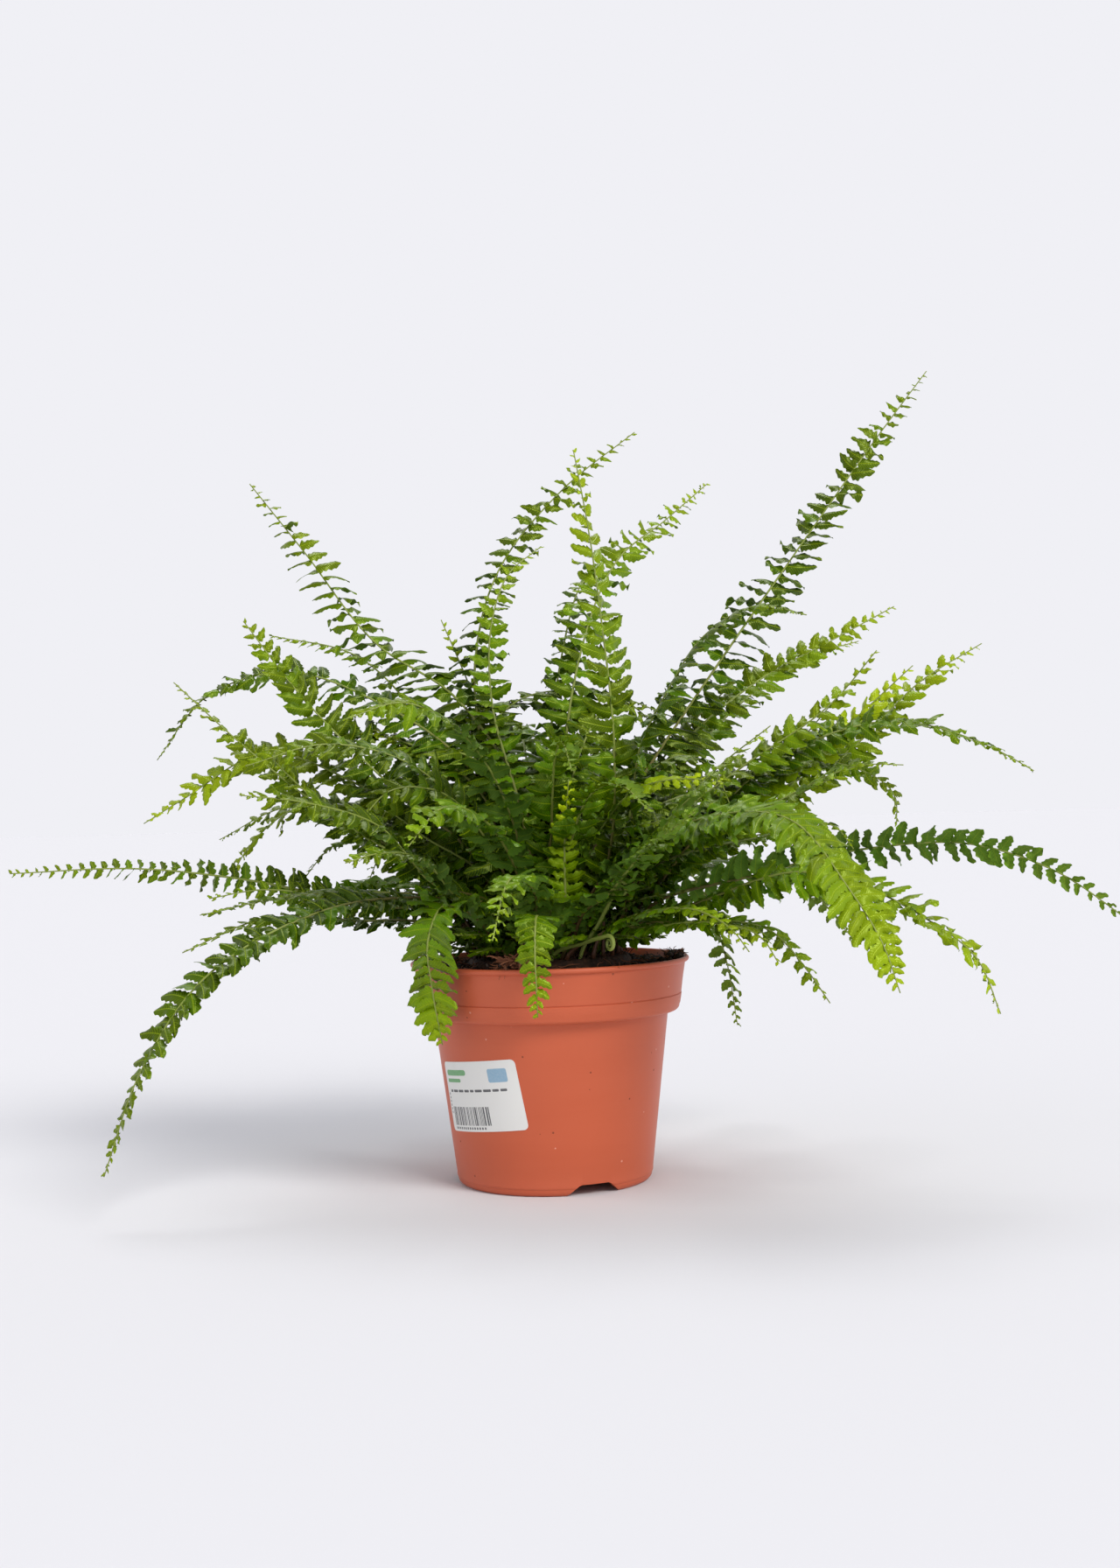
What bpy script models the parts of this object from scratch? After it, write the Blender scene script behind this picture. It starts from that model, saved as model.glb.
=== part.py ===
"""Potted Boston fern: one pot, its root ball, the crown, every frond and crozier, and a price label."""

import math

import bmesh
import bpy
from mathutils import Matrix, Vector
from mathutils.kdtree import KDTree

MM = 0.001

# Pot, all in millimetres
POT_HEIGHT = 134.0
RIM_RADIUS = 85.0
BEAD_HEIGHT = 3.2
BEAD_OVERHANG = 2.3
COLLAR_DEPTH = 32.5
COLLAR_TAPER = 4.2
COLLAR_ROUND = 3.0
COLLAR_STEP = 7.0
GROOVE_DROP = 22.0
GROOVE_DEPTH = 0.5
BODY_TAPER = 11.7
FOOT_STEP = 2.8
FOOT_HEIGHT = 7.0
FOOT_ROUND = 4.0
FOOT_THICKNESS = 2.4
WALL = 1.4
FLOOR_THICKNESS = 1.6
FLOOR_RISE = 1.0
POT_SIDES = 48

# Cut-outs round the foot and the drain holes in the floor
NOTCH_COUNT = 3
NOTCH_HEADING = 293.5
NOTCH_HEIGHT = 6.4
NOTCH_HALF_WIDTH_LOW = 17.0
NOTCH_HALF_WIDTH_HIGH = 9.5
NOTCH_DEPTH = 20.0
DRAIN_COUNT = 6
DRAIN_RADIUS = 4.5
DRAIN_INSET = 15.8
DRAIN_SIDES = 14
CUT_OVERRUN = 2.0

# Root ball and crown
SEAT_GAP = 0.3
COMPOST_GAP = 0.5
COMPOST_DROP = 5.0
COMPOST_ROUGHNESS = 0.8
COMPOST_SIDES = 24
CROWN_HEIGHT = 7.0
CROWN_RADIUS = 50.0
CROWN_SHOULDER = 3.0
CROWN_MARGIN = 4.0
CROWN_SIDES = 22

# Where the stalks stand on the crown, as shares of its radius
SEAT_RINGS = (0.14, 0.37, 0.62, 0.87)
SEAT_PITCH = 8.8

# Fronds
STALK_HALF = 1.25
STALK_TIP_HALF = 0.45
BLADE_THICKNESS = 1.8
BLADE_FOLD = 0.12
LOBE_LENGTH = 20.0
LOBE_CUT = 0.42
LEAF_GAP = 3.2
ROUTE_STEP = 4.0
BLADE_MIN_HALF = 1.4
HANG_CLEARANCE = 5.0
HANG_LEVEL = 6.0

# Price label
LABEL_HEADING = 227.5
LABEL_WIDTH = 63.0
LABEL_HEIGHT = 41.5
LABEL_DROP = 23.0
LABEL_TILT = 5.5
LABEL_THICKNESS = 0.25
LABEL_CORNER = 3.0
LABEL_COLUMNS = 14

# Young croziers
CROZIER_HALF = 1.7
CROZIER_COIL_RADIUS = 6.5

RIM_TOP = POT_HEIGHT
COLLAR_TOP_RADIUS = RIM_RADIUS - BEAD_OVERHANG
COLLAR_BOTTOM_RADIUS = COLLAR_TOP_RADIUS - COLLAR_TAPER
BODY_TOP_RADIUS = COLLAR_BOTTOM_RADIUS - COLLAR_STEP
BODY_BASE_RADIUS = BODY_TOP_RADIUS - BODY_TAPER
FOOT_RADIUS = BODY_BASE_RADIUS - FOOT_STEP
DRAIN_RING = BODY_BASE_RADIUS - DRAIN_INSET
COLLAR_LOW = POT_HEIGHT - COLLAR_DEPTH
FLOOR_TOP = FOOT_HEIGHT + FLOOR_THICKNESS
LABEL_MIDDLE = COLLAR_LOW - LABEL_DROP - LABEL_HEIGHT / 2.0
COMPOST_TOP = RIM_TOP - COMPOST_DROP
COMPOST_FLAT_RADIUS = CROWN_RADIUS + CROWN_MARGIN
CROWN_FOOT = COMPOST_TOP + SEAT_GAP
CROWN_TOP = CROWN_FOOT + CROWN_HEIGHT
SEAT_HEIGHT = CROWN_TOP + SEAT_GAP

# Each frond: name, heading in degrees (0 right, 90 back, 180 left, 270 front), seat ring,
# blade width, lean of the blade towards the front in degrees, bare share of the length,
# then the places it passes as (reach out, height above the seat, sideways), tip last.
FRONDS = (
    ("frond_far_left", 176, 3, 46, 35, 0.2, ((60, 25, 0), (125, 36, 0), (190, 50, 0), (255, 58, 0), (337, 57, 0))),
    ("frond_left_short_upper", 196, 3, 40, 20, 0.2, ((55, 26, 0), (120, 42, 0), (165, 40, 0), (210, 32, 0))),
    ("frond_left_short_lower", 186, 3, 34, 30, 0.22, ((60, 15, 0), (120, 24, 0), (175, 26, 0), (221, 8, 0))),
    ("frond_left_drooping", 205, 3, 62, 25, 0.2, ((50, 26, 0), (105, 38, 0), (169, 24, 0), (215, -3, 0), (251, -52, 0), (272, -107, 0))),
    ("frond_left_yellow", 172, 2, 52, 40, 0.22, ((55, 60, 0), (120, 108, 0), (175, 128, 0), (232, 100, 0), (257, 86, 0))),
    ("frond_tall_left", 162, 1, 44, 70, 0.2, ((14, 80, -8), (58, 160, 0), (109, 195, 0), (159, 258, 0), (196, 304, 0))),
    ("frond_left_high", 176, 2, 44, 60, 0.24, ((42, 55, 0), (94, 104, 0), (152, 165, 0), (185, 210, 0))),
    ("frond_left_high_small", 150, 2, 36, 60, 0.26, ((40, 70, 0), (78, 131, 0), (137, 190, 0), (211, 210, 0))),
    ("frond_left_high_yellow", 187, 2, 40, 50, 0.26, ((60, 45, 0), (130, 88, 0), (188, 137, 0), (222, 170, 0))),
    ("frond_left_dark_arch", 165, 2, 48, 45, 0.2, ((45, 110, 0), (109, 159, 0), (169, 180, 0), (226, 166, 0), (261, 127, 0))),
    ("frond_front_left_bright", 218, 2, 46, 30, 0.18, ((40, 30, 0), (85, 47, 0), (119, 80, 0), (167, 95, 0), (209, 100, 0))),
    ("frond_centre_upright", 300, 1, 42, 0, 0.18, ((40, 60, 20), (54, 113, 17), (58, 200, 8), (60, 250, 0), (62, 296, -10))),
    ("frond_back_arch", 90, 1, 46, 0, 0.2, ((25, 110, 36), (40, 178, 43), (60, 239, 29), (80, 300, -18), (90, 337, -65))),
    ("frond_back_right_tall", 50, 1, 46, 60, 0.22, ((16, 90, 0), (30, 165, 0), (77, 247, 0), (132, 280, 0), (181, 310, 0))),
    ("frond_centre_back", 100, 0, 34, 0, 0.26, ((0, 90, 16), (12, 157, 30), (20, 202, 28), (35, 237, 14), (50, 257, -10))),
    ("frond_tall_right", 18, 1, 38, 60, 0.18, ((25, 50, 0), (67, 111, 0), (120, 181, 0), (178, 255, 0), (236, 328, 0), (272, 371, 0))),
    ("frond_right_arch", 322, 1, 44, 40, 0.22, ((54, 60, 8), (74, 127, 0), (93, 155, 0), (118, 184, 0), (157, 199, 0), (187, 191, 0))),
    ("frond_right_high", 22, 2, 44, 55, 0.22, ((40, 60, 0), (82, 116, 0), (144, 164, 0), (209, 196, 0), (253, 217, 0))),
    ("frond_back_right_high", 40, 2, 38, 40, 0.26, ((50, 55, 0), (105, 105, 0), (176, 158, 0), (240, 190, 0), (295, 203, 0))),
    ("frond_right_front_high", 346, 2, 44, 50, 0.22, ((32, 35, 2), (63, 67, 0), (120, 109, 0), (178, 148, 0), (203, 176, 0))),
    ("frond_right_yellow", 356, 2, 42, 50, 0.26, ((50, 48, 4), (116, 87, 0), (177, 128, 0), (225, 169, 0))),
    ("frond_right_long_rise", 8, 2, 44, 50, 0.2, ((55, 30, 0), (119, 82, 0), (193, 120, 0), (243, 164, 0), (282, 186, 0))),
    ("frond_right_arch_low", 352, 3, 46, 40, 0.22, ((70, 42, -6), (148, 118, 0), (210, 135, 0), (271, 116, 0), (292, 103, 0))),
    ("frond_right_short", 330, 3, 38, 30, 0.24, ((64, 48, -4), (149, 87, 0), (209, 108, 0), (229, 107, 0))),
    ("frond_front_right_short", 305, 2, 38, 25, 0.24, ((60, 40, 0), (110, 72, 0), (165, 108, 0), (208, 128, 0))),
    ("frond_far_right", 346, 3, 56, 35, 0.2, ((60, 25, 0), (126, 45, 0), (195, 60, 0), (255, 61, 0), (298, 46, 0), (345, 12, 0))),
    ("frond_front_right_big", 318, 3, 60, 20, 0.18, ((50, 45, 0), (119, 80, 0), (184, 77, 0), (216, 43, 0), (238, 11, 0), (247, -13, 0))),
    ("frond_right_drooping", 335, 3, 50, 25, 0.2, ((50, 16, 5), (93, 29, 0), (164, 48, 0), (232, 22, 0), (261, -1, 0), (273, -31, 0))),
    ("frond_front_right_thin", 304, 3, 26, 15, 0.26, ((55, 14, 0), (105, 29, 0), (150, 30, 0), (178, 20, 0), (190, 10, 0))),
    ("frond_front_right_low", 312, 3, 30, 15, 0.26, ((45, 12, 0), (86, 18, 0), (141, 22, 0), (175, 14, 0), (185, 2, 0))),
    ("frond_right_low", 324, 3, 36, 15, 0.22, ((50, 11, 0), (103, 20, 0), (157, 15, 0), (178, -6, 0), (191, -23, 0))),
    ("frond_over_rim_left", 226, 3, 54, 12, 0.18, ((62, 26, 0), (88, 33, 0), (99, 15, 0), (97, -12, 0), (90, -46, 0))),
    ("frond_over_rim_front", 266, 3, 34, 0, 0.22, ((68, 24, 0), (94, 26, 0), (104, 9, 0), (101, -10, 0), (97, -28, 0))),
    ("frond_front_grey", 298, 2, 34, 0, 0.2, ((40, 22, 0), (75, 38, 0), (115, 62, 0), (170, 84, 0))),
    ("frond_front_yellow_tip", 316, 1, 28, 20, 0.26, ((35, 60, 0), (70, 96, 0), (117, 103, 0), (140, 100, 0))),
    ("frond_back_left_tip", 135, 2, 34, 30, 0.26, ((45, 125, 0), (70, 175, 0), (92, 213, 0))),
    ("frond_front_young", 286, 2, 16, 0, 0.18, ((36, 30, 0), (40, 70, 0), (52, 105, 0))),
    ("frond_front_left_mid", 244, 2, 40, 10, 0.2, ((40, 50, 0), (85, 85, 0), (128, 90, 0), (165, 70, 0))),
    ("frond_front_mid", 276, 1, 38, 0, 0.2, ((25, 70, 0), (60, 115, 0), (105, 125, 0), (150, 108, 0))),
    ("frond_front_left_high", 230, 1, 42, 20, 0.2, ((30, 80, 0), (75, 135, 0), (120, 150, 0), (165, 140, 0))),
    ("frond_front_reach", 262, 3, 34, 0, 0.2, ((50, 30, 0), (100, 50, 0), (150, 48, 0), (195, 22, 0))),
    ("frond_back_right_low", 34, 3, 46, 0, 0.2, ((60, 26, 0), (130, 52, 0), (200, 38, 0), (255, -10, 0))),
    ("frond_back_right_drooping", 56, 3, 48, 0, 0.2, ((60, 34, 0), (120, 58, 0), (180, 38, 0), (222, -22, 0), (236, -70, 0))),
    ("frond_back_mid_right", 66, 2, 46, 0, 0.2, ((50, 80, 0), (110, 130, 0), (165, 126, 0), (212, 90, 0))),
    ("frond_back_low", 84, 3, 46, 0, 0.2, ((60, 28, 0), (120, 44, 0), (170, 20, 0), (196, -34, 0))),
    ("frond_back_mid", 100, 2, 46, 0, 0.2, ((45, 90, 0), (95, 140, 0), (150, 138, 0), (196, 100, 0))),
    ("frond_back_left_drooping", 116, 3, 46, 0, 0.2, ((60, 30, 0), (120, 48, 0), (180, 22, 0), (214, -40, 0))),
    ("frond_back_left_low", 142, 3, 46, 0, 0.2, ((60, 24, 0), (130, 44, 0), (200, 30, 0), (262, -8, 0))),
    ("frond_back_left_mid", 128, 2, 44, 0, 0.2, ((55, 60, 0), (115, 98, 0), (175, 92, 0), (226, 50, 0))),
    ("frond_back_tall", 74, 0, 44, 0, 0.2, ((24, 100, 6), (58, 185, 4), (105, 238, 2), (160, 250, 0))),
    ("frond_left_mid", 197, 1, 44, 45, 0.2, ((40, 70, 0), (85, 118, 0), (135, 130, 0), (182, 118, 0))),
    ("frond_front_right_mid", 292, 1, 38, 10, 0.22, ((30, 55, 0), (70, 95, 0), (115, 100, 0), (150, 86, 0))),
    ("frond_back_left_mid_low", 155, 2, 44, 30, 0.2, ((55, 50, 0), (120, 84, 0), (190, 94, 0), (242, 74, 0))),
)

# Curled young fronds: name, heading of the stalk, seat ring, then its way as above; the last place is the coil.
CROZIERS = (
    ("crozier_front_tall", 309, 3, ((54, 22, -4), (74, 44, -6))),
    ("crozier_front_low", 290, 3, ((62, 10, 0), (84, 15, 6))),
)


def heading_vector(degrees):
    turn = math.radians(degrees)
    return Vector((math.cos(turn), math.sin(turn), 0.0))


def left_of(degrees):
    return heading_vector(degrees + 90.0)


def clear_scene():
    for old in list(bpy.data.objects):
        bpy.data.objects.remove(old, do_unlink=True)


def material(name, colour, roughness):
    made = bpy.data.materials.new(name)
    made.use_nodes = True
    shader = made.node_tree.nodes["Principled BSDF"]
    shader.inputs["Base Color"].default_value = (colour[0], colour[1], colour[2], 1.0)
    shader.inputs["Roughness"].default_value = roughness
    return made


def add_object(name, points, faces, look):
    """One named object from points in millimetres, its faces turned outwards."""
    mesh = bpy.data.meshes.new(name)
    mesh.from_pydata([tuple(Vector(point) * MM) for point in points], [], faces)
    work = bmesh.new()
    work.from_mesh(mesh)
    bmesh.ops.recalc_face_normals(work, faces=work.faces)
    work.to_mesh(mesh)
    work.free()
    made = bpy.data.objects.new(name, mesh)
    bpy.context.collection.objects.link(made)
    mesh.materials.append(look)
    return made


def smooth(made, angle):
    made.data.shade_smooth()
    made.data.set_sharp_from_angle(angle=math.radians(angle))


def lathe(profile, sides):
    """Points and faces of a closed turned piece; the profile's two ends are on the axis."""
    points = [Vector((0.0, 0.0, profile[0][1]))]
    faces = []
    rings = profile[1:-1]
    for radius, height in rings:
        for side in range(sides):
            turn = 2.0 * math.pi * side / sides
            points.append(Vector((radius * math.cos(turn), radius * math.sin(turn), height)))
    points.append(Vector((0.0, 0.0, profile[-1][1])))
    last = len(points) - 1
    for side in range(sides):
        after = (side + 1) % sides
        faces.append((0, 1 + after, 1 + side))
        for ring in range(len(rings) - 1):
            low = 1 + ring * sides
            high = low + sides
            faces.append((low + side, low + after, high + after, high + side))
        top = 1 + (len(rings) - 1) * sides
        faces.append((top + side, top + after, last))
    return points, faces


def collar_radius(height):
    share = (height - COLLAR_LOW) / COLLAR_DEPTH
    return COLLAR_BOTTOM_RADIUS + (COLLAR_TOP_RADIUS - COLLAR_BOTTOM_RADIUS) * share


def body_radius(height):
    share = (height - FOOT_HEIGHT) / (COLLAR_LOW - FOOT_HEIGHT)
    return BODY_BASE_RADIUS + (BODY_TOP_RADIUS - BODY_BASE_RADIUS) * share


def pot_outside():
    """Profile of the outside from the middle of the underside up to the top of the bead."""
    foot_inner = FOOT_RADIUS - FOOT_THICKNESS
    bead_low = RIM_TOP - BEAD_HEIGHT
    groove = RIM_TOP - GROOVE_DROP
    half_bead = BEAD_HEIGHT / 2.0
    return [
        (0.0, FOOT_HEIGHT + FLOOR_RISE),
        (foot_inner - 12.0, FOOT_HEIGHT),
        (foot_inner, FOOT_HEIGHT),
        (foot_inner, 0.0),
        (FOOT_RADIUS - 0.6, 0.0),
        (FOOT_RADIUS + 0.6, 0.5),
        (body_radius(FOOT_ROUND) - 0.4, FOOT_ROUND * 0.55),
        (body_radius(FOOT_ROUND) + 0.3, FOOT_ROUND),
        (body_radius(FOOT_ROUND + 1.2), FOOT_ROUND + 1.2),
        (BODY_TOP_RADIUS, COLLAR_LOW),
        (COLLAR_BOTTOM_RADIUS - COLLAR_ROUND, COLLAR_LOW),
        (COLLAR_BOTTOM_RADIUS - COLLAR_ROUND * 0.3, COLLAR_LOW + COLLAR_ROUND * 0.3),
        (collar_radius(COLLAR_LOW + COLLAR_ROUND), COLLAR_LOW + COLLAR_ROUND),
        (collar_radius(groove) + 0.15, groove - GROOVE_DEPTH),
        (collar_radius(groove) - GROOVE_DEPTH, groove),
        (collar_radius(groove), groove + GROOVE_DEPTH),
        (COLLAR_TOP_RADIUS, bead_low),
        (RIM_RADIUS - half_bead * 0.3, bead_low + half_bead * 0.3),
        (RIM_RADIUS, bead_low + half_bead),
        (RIM_RADIUS - half_bead * 0.3, RIM_TOP - half_bead * 0.3),
        (RIM_RADIUS - half_bead, RIM_TOP),
    ]


def pot_inside(gap):
    """Profile of the inside, from the top of the wall down to the floor, drawn in by a gap."""
    inset = WALL + gap
    return [
        (COLLAR_TOP_RADIUS - inset, RIM_TOP - BEAD_HEIGHT * 0.6),
        (collar_radius(COLLAR_LOW + COLLAR_ROUND) - inset, COLLAR_LOW + COLLAR_ROUND),
        (BODY_TOP_RADIUS - inset + 1.0, COLLAR_LOW + WALL + gap),
        (body_radius(COLLAR_LOW - 2.0) - inset, COLLAR_LOW - 2.0),
        (body_radius(FLOOR_TOP + 3.0) - inset, FLOOR_TOP + 3.0 + gap),
        (body_radius(FLOOR_TOP) - inset - 3.0, FLOOR_TOP + gap),
    ]


def prism(outline, bottom, top, place):
    """Points and faces of an upright prism over an outline, moved by a matrix."""
    count = len(outline)
    points = [place @ Vector((x, y, bottom)) for x, y in outline]
    points += [place @ Vector((x, y, top)) for x, y in outline]
    faces = [tuple(reversed(range(count))), tuple(range(count, 2 * count))]
    for side in range(count):
        after = (side + 1) % count
        faces.append((side, after, count + after, count + side))
    return points, faces


def pot_cutters():
    """Foot notches and drain holes as one set of cutting shapes."""
    points = []
    faces = []

    def take(more_points, more_faces):
        start = len(points)
        points.extend(more_points)
        faces.extend(tuple(start + index for index in face) for face in more_faces)

    slope = (NOTCH_HALF_WIDTH_LOW - NOTCH_HALF_WIDTH_HIGH) / NOTCH_HEIGHT
    wide = NOTCH_HALF_WIDTH_LOW + slope * CUT_OVERRUN
    outline = (
        (-wide, -CUT_OVERRUN),
        (wide, -CUT_OVERRUN),
        (NOTCH_HALF_WIDTH_LOW, 0.0),
        (NOTCH_HALF_WIDTH_HIGH, NOTCH_HEIGHT),
        (-NOTCH_HALF_WIDTH_HIGH, NOTCH_HEIGHT),
        (-NOTCH_HALF_WIDTH_LOW, 0.0),
    )
    for notch in range(NOTCH_COUNT):
        turn = math.radians(NOTCH_HEADING + 360.0 * notch / NOTCH_COUNT)
        place = Matrix.Rotation(turn, 4, "Z") @ Matrix.Rotation(math.radians(90.0), 4, "Y")
        place = place @ Matrix.Rotation(math.radians(90.0), 4, "Z")
        take(*prism(outline, FOOT_RADIUS - NOTCH_DEPTH / 2.0, FOOT_RADIUS + NOTCH_DEPTH / 2.0, place))
    circle = []
    for corner in range(DRAIN_SIDES):
        turn = 2.0 * math.pi * corner / DRAIN_SIDES
        circle.append((DRAIN_RADIUS * math.cos(turn), DRAIN_RADIUS * math.sin(turn)))
    for hole in range(DRAIN_COUNT):
        middle = heading_vector(NOTCH_HEADING + 30.0 + 360.0 * hole / DRAIN_COUNT) * DRAIN_RING
        drill = Matrix.Translation(middle)
        take(*prism(circle, FOOT_HEIGHT - CUT_OVERRUN, FLOOR_TOP + CUT_OVERRUN, drill))
    return points, faces


def build_pot(look):
    outside = pot_outside()
    inside = pot_inside(0.0)
    profile = outside + inside + [(0.0, FLOOR_TOP + FLOOR_RISE)]
    points, faces = lathe(profile, POT_SIDES)
    pot = add_object("pot", points, faces, look)
    points, faces = pot_cutters()
    cutter = add_object("pot_cutter", points, faces, look)
    cutter.hide_render = True
    cutter.display_type = "WIRE"
    cut = pot.modifiers.new("cuts", "BOOLEAN")
    cut.operation = "DIFFERENCE"
    cut.solver = "EXACT"
    cut.object = cutter
    smooth(pot, 32.0)


def build_compost(look):
    rings = [(0.0, FLOOR_TOP + FLOOR_RISE + COMPOST_GAP)]
    inside = list(reversed(pot_inside(COMPOST_GAP)))
    rings += inside[0:5]
    edge_radius = collar_radius(COMPOST_TOP) - WALL - COMPOST_GAP
    rings.append((edge_radius, COMPOST_TOP - 3.0))
    rings.append((edge_radius - 7.0, COMPOST_TOP - 0.6))
    rings.append((COMPOST_FLAT_RADIUS + 8.0, COMPOST_TOP))
    rings.append((COMPOST_FLAT_RADIUS, COMPOST_TOP))
    rings.append((0.0, COMPOST_TOP))
    points, faces = lathe(rings, COMPOST_SIDES)
    for point in points:
        radius = math.hypot(point.x, point.y)
        loose = COMPOST_FLAT_RADIUS + 1.0 < radius < edge_radius - 1.0
        if loose and point.z > COMPOST_TOP - 2.0:
            turn = math.atan2(point.y, point.x)
            wave = math.sin(5.0 * turn + radius) + math.sin(9.0 * turn - 1.7 * radius)
            point.z += COMPOST_ROUGHNESS * wave
    compost = add_object("compost", points, faces, look)
    smooth(compost, 50.0)


def build_crown(look):
    middle = CROWN_RADIUS - CROWN_SHOULDER
    rings = [
        (0.0, CROWN_FOOT),
        (CROWN_RADIUS, CROWN_FOOT),
        (CROWN_RADIUS + 1.0, CROWN_FOOT + CROWN_HEIGHT * 0.45),
        (middle, CROWN_TOP),
        (0.0, CROWN_TOP),
    ]
    points, faces = lathe(rings, CROWN_SIDES)
    for point in points:
        radius = math.hypot(point.x, point.y)
        if radius > middle + 0.1:
            turn = math.atan2(point.y, point.x)
            swell = 1.0 + 0.045 * math.sin(7.0 * turn) + 0.03 * math.sin(11.0 * turn + 1.0)
            point.x *= swell
            point.y *= swell
    crown = add_object("crown", points, faces, look)
    smooth(crown, 40.0)


def label_point(across, up, out):
    """A place on the side of the pot, measured in the tilted label from its middle."""
    tilt = math.radians(LABEL_TILT)
    height = LABEL_MIDDLE + across * math.sin(tilt) + up * math.cos(tilt)
    round_by = across * math.cos(tilt) - up * math.sin(tilt)
    turn = math.radians(LABEL_HEADING) + round_by / body_radius(height)
    radius = body_radius(height) + out
    return Vector((radius * math.cos(turn), radius * math.sin(turn), height))


def build_label(look):
    """A thin curved sheet with rounded corners, following the side of the pot."""
    facet_drop = BODY_TOP_RADIUS * (1.0 - math.cos(math.pi / POT_SIDES))
    inner = SEAT_GAP
    outer = inner + facet_drop * 0.5 + LABEL_THICKNESS
    half_width = LABEL_WIDTH / 2.0
    half_height = LABEL_HEIGHT / 2.0
    corner_steps = (0.0, 0.3, 1.0)
    places = [-half_width + LABEL_CORNER * step for step in corner_steps]
    inside = LABEL_COLUMNS - 4
    for step in range(1, inside):
        places.append(places[2] + 2.0 * (half_width - LABEL_CORNER) * step / inside)
    places += [half_width - LABEL_CORNER * step for step in reversed(corner_steps)]
    points = []
    for across in places:
        from_corner = max(0.0, LABEL_CORNER - (half_width - abs(across)))
        inset = LABEL_CORNER - math.sqrt(LABEL_CORNER**2 - from_corner**2)
        reach = half_height - min(inset, LABEL_CORNER * 0.9)
        points.append(label_point(across, -reach, inner))
        points.append(label_point(across, -reach, outer))
        points.append(label_point(across, reach, outer))
        points.append(label_point(across, reach, inner))
    faces = [(0, 1, 2, 3)]
    for column in range(len(places) - 1):
        start = 4 * column
        for corner in range(4):
            after = (corner + 1) % 4
            faces.append((start + corner, start + after, start + 4 + after, start + 4 + corner))
    end = 4 * (len(places) - 1)
    faces.append((end + 3, end + 2, end + 1, end))
    label = add_object("price_label", points, faces, look)
    smooth(label, 40.0)


def seat_places():
    """Where each stalk stands: as near its own heading as the stalks beside it leave room for."""
    places = {}
    for ring, share in enumerate(SEAT_RINGS):
        radius = share * CROWN_RADIUS
        here = [(row[1] % 360, row[0]) for row in FRONDS + CROZIERS if row[2] == ring]
        here.sort()
        turns = [float(heading) for heading, _ in here]
        count = len(turns)
        room = min(math.degrees(SEAT_PITCH / radius), 350.0 / max(count, 1))
        for _ in range(400):
            for index in range(count):
                after = (index + 1) % count
                between = turns[after] - turns[index] + (360.0 if after <= index else 0.0)
                short = room - between
                if count > 1 and short > 0.0:
                    turns[index] -= short / 2.0
                    turns[after] += short / 2.0
        for turn, (_, name) in zip(turns, here):
            places[name] = heading_vector(turn) * radius + Vector((0.0, 0.0, SEAT_HEIGHT))
    return places


def way_point(heading, place):
    """A place on a frond's way; where it hangs below the rim it stays clear of the pot."""
    reach, rise, side = place
    if SEAT_HEIGHT + rise < RIM_TOP + HANG_LEVEL and reach > CROWN_RADIUS:
        reach = max(reach, RIM_RADIUS + HANG_CLEARANCE)
    spot = heading_vector(heading) * reach + left_of(heading) * side
    return Vector((spot.x, spot.y, SEAT_HEIGHT + rise))


def route_through(stops):
    """A smooth line through the stops, straight up out of the crown, in even steps."""
    tangents = [Vector((0.0, 0.0, 1.0)) * (stops[1] - stops[0]).length * 0.9]
    for index in range(1, len(stops) - 1):
        before = (stops[index] - stops[index - 1]).length
        after = (stops[index + 1] - stops[index]).length
        slope = (stops[index] - stops[index - 1]) / before * after
        slope += (stops[index + 1] - stops[index]) / after * before
        tangents.append(slope / (before + after))
    tangents.append((stops[-1] - stops[-2]) / (stops[-1] - stops[-2]).length)
    fine = []
    for index in range(len(stops) - 1):
        span = (stops[index + 1] - stops[index]).length
        first = tangents[index] if index == 0 else tangents[index] * span
        last = tangents[index + 1] * span
        for step in range(40):
            t = step / 40.0
            fine.append(
                stops[index] * (2 * t**3 - 3 * t**2 + 1)
                + first * (t**3 - 2 * t**2 + t)
                + stops[index + 1] * (3 * t**2 - 2 * t**3)
                + last * (t**3 - t**2)
            )
    fine.append(stops[-1].copy())
    lengths = [0.0]
    for index in range(1, len(fine)):
        lengths.append(lengths[-1] + (fine[index] - fine[index - 1]).length)
    return fine, lengths


def along(route, distance):
    fine, lengths = route
    index = 0
    while index < len(lengths) - 2 and lengths[index + 1] < distance:
        index += 1
    span = lengths[index + 1] - lengths[index]
    share = (distance - lengths[index]) / span if span > 0 else 0.0
    share = min(max(share, 0.0), 1.0)
    return fine[index].lerp(fine[index + 1], share)


def blade_profile(share):
    """Half-width of a blade as a share of its widest: broad near the stalk, long taper to the tip."""
    opening = min(1.0, 0.45 + 3.2 * share)
    taper = (1.0 - share**2.3) ** 0.8
    return opening * taper


def frame_at(heading, lean, tangent):
    side = left_of(heading)
    side = (side - tangent * side.dot(tangent)).normalized()
    normal = tangent.cross(side).normalized()
    roll = math.radians(lean) * (1.0 if math.cos(math.radians(heading)) >= 0.0 else -1.0)
    leaned = side * math.cos(roll) + normal * math.sin(roll)
    return leaned, tangent.cross(leaned).normalized()


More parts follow.
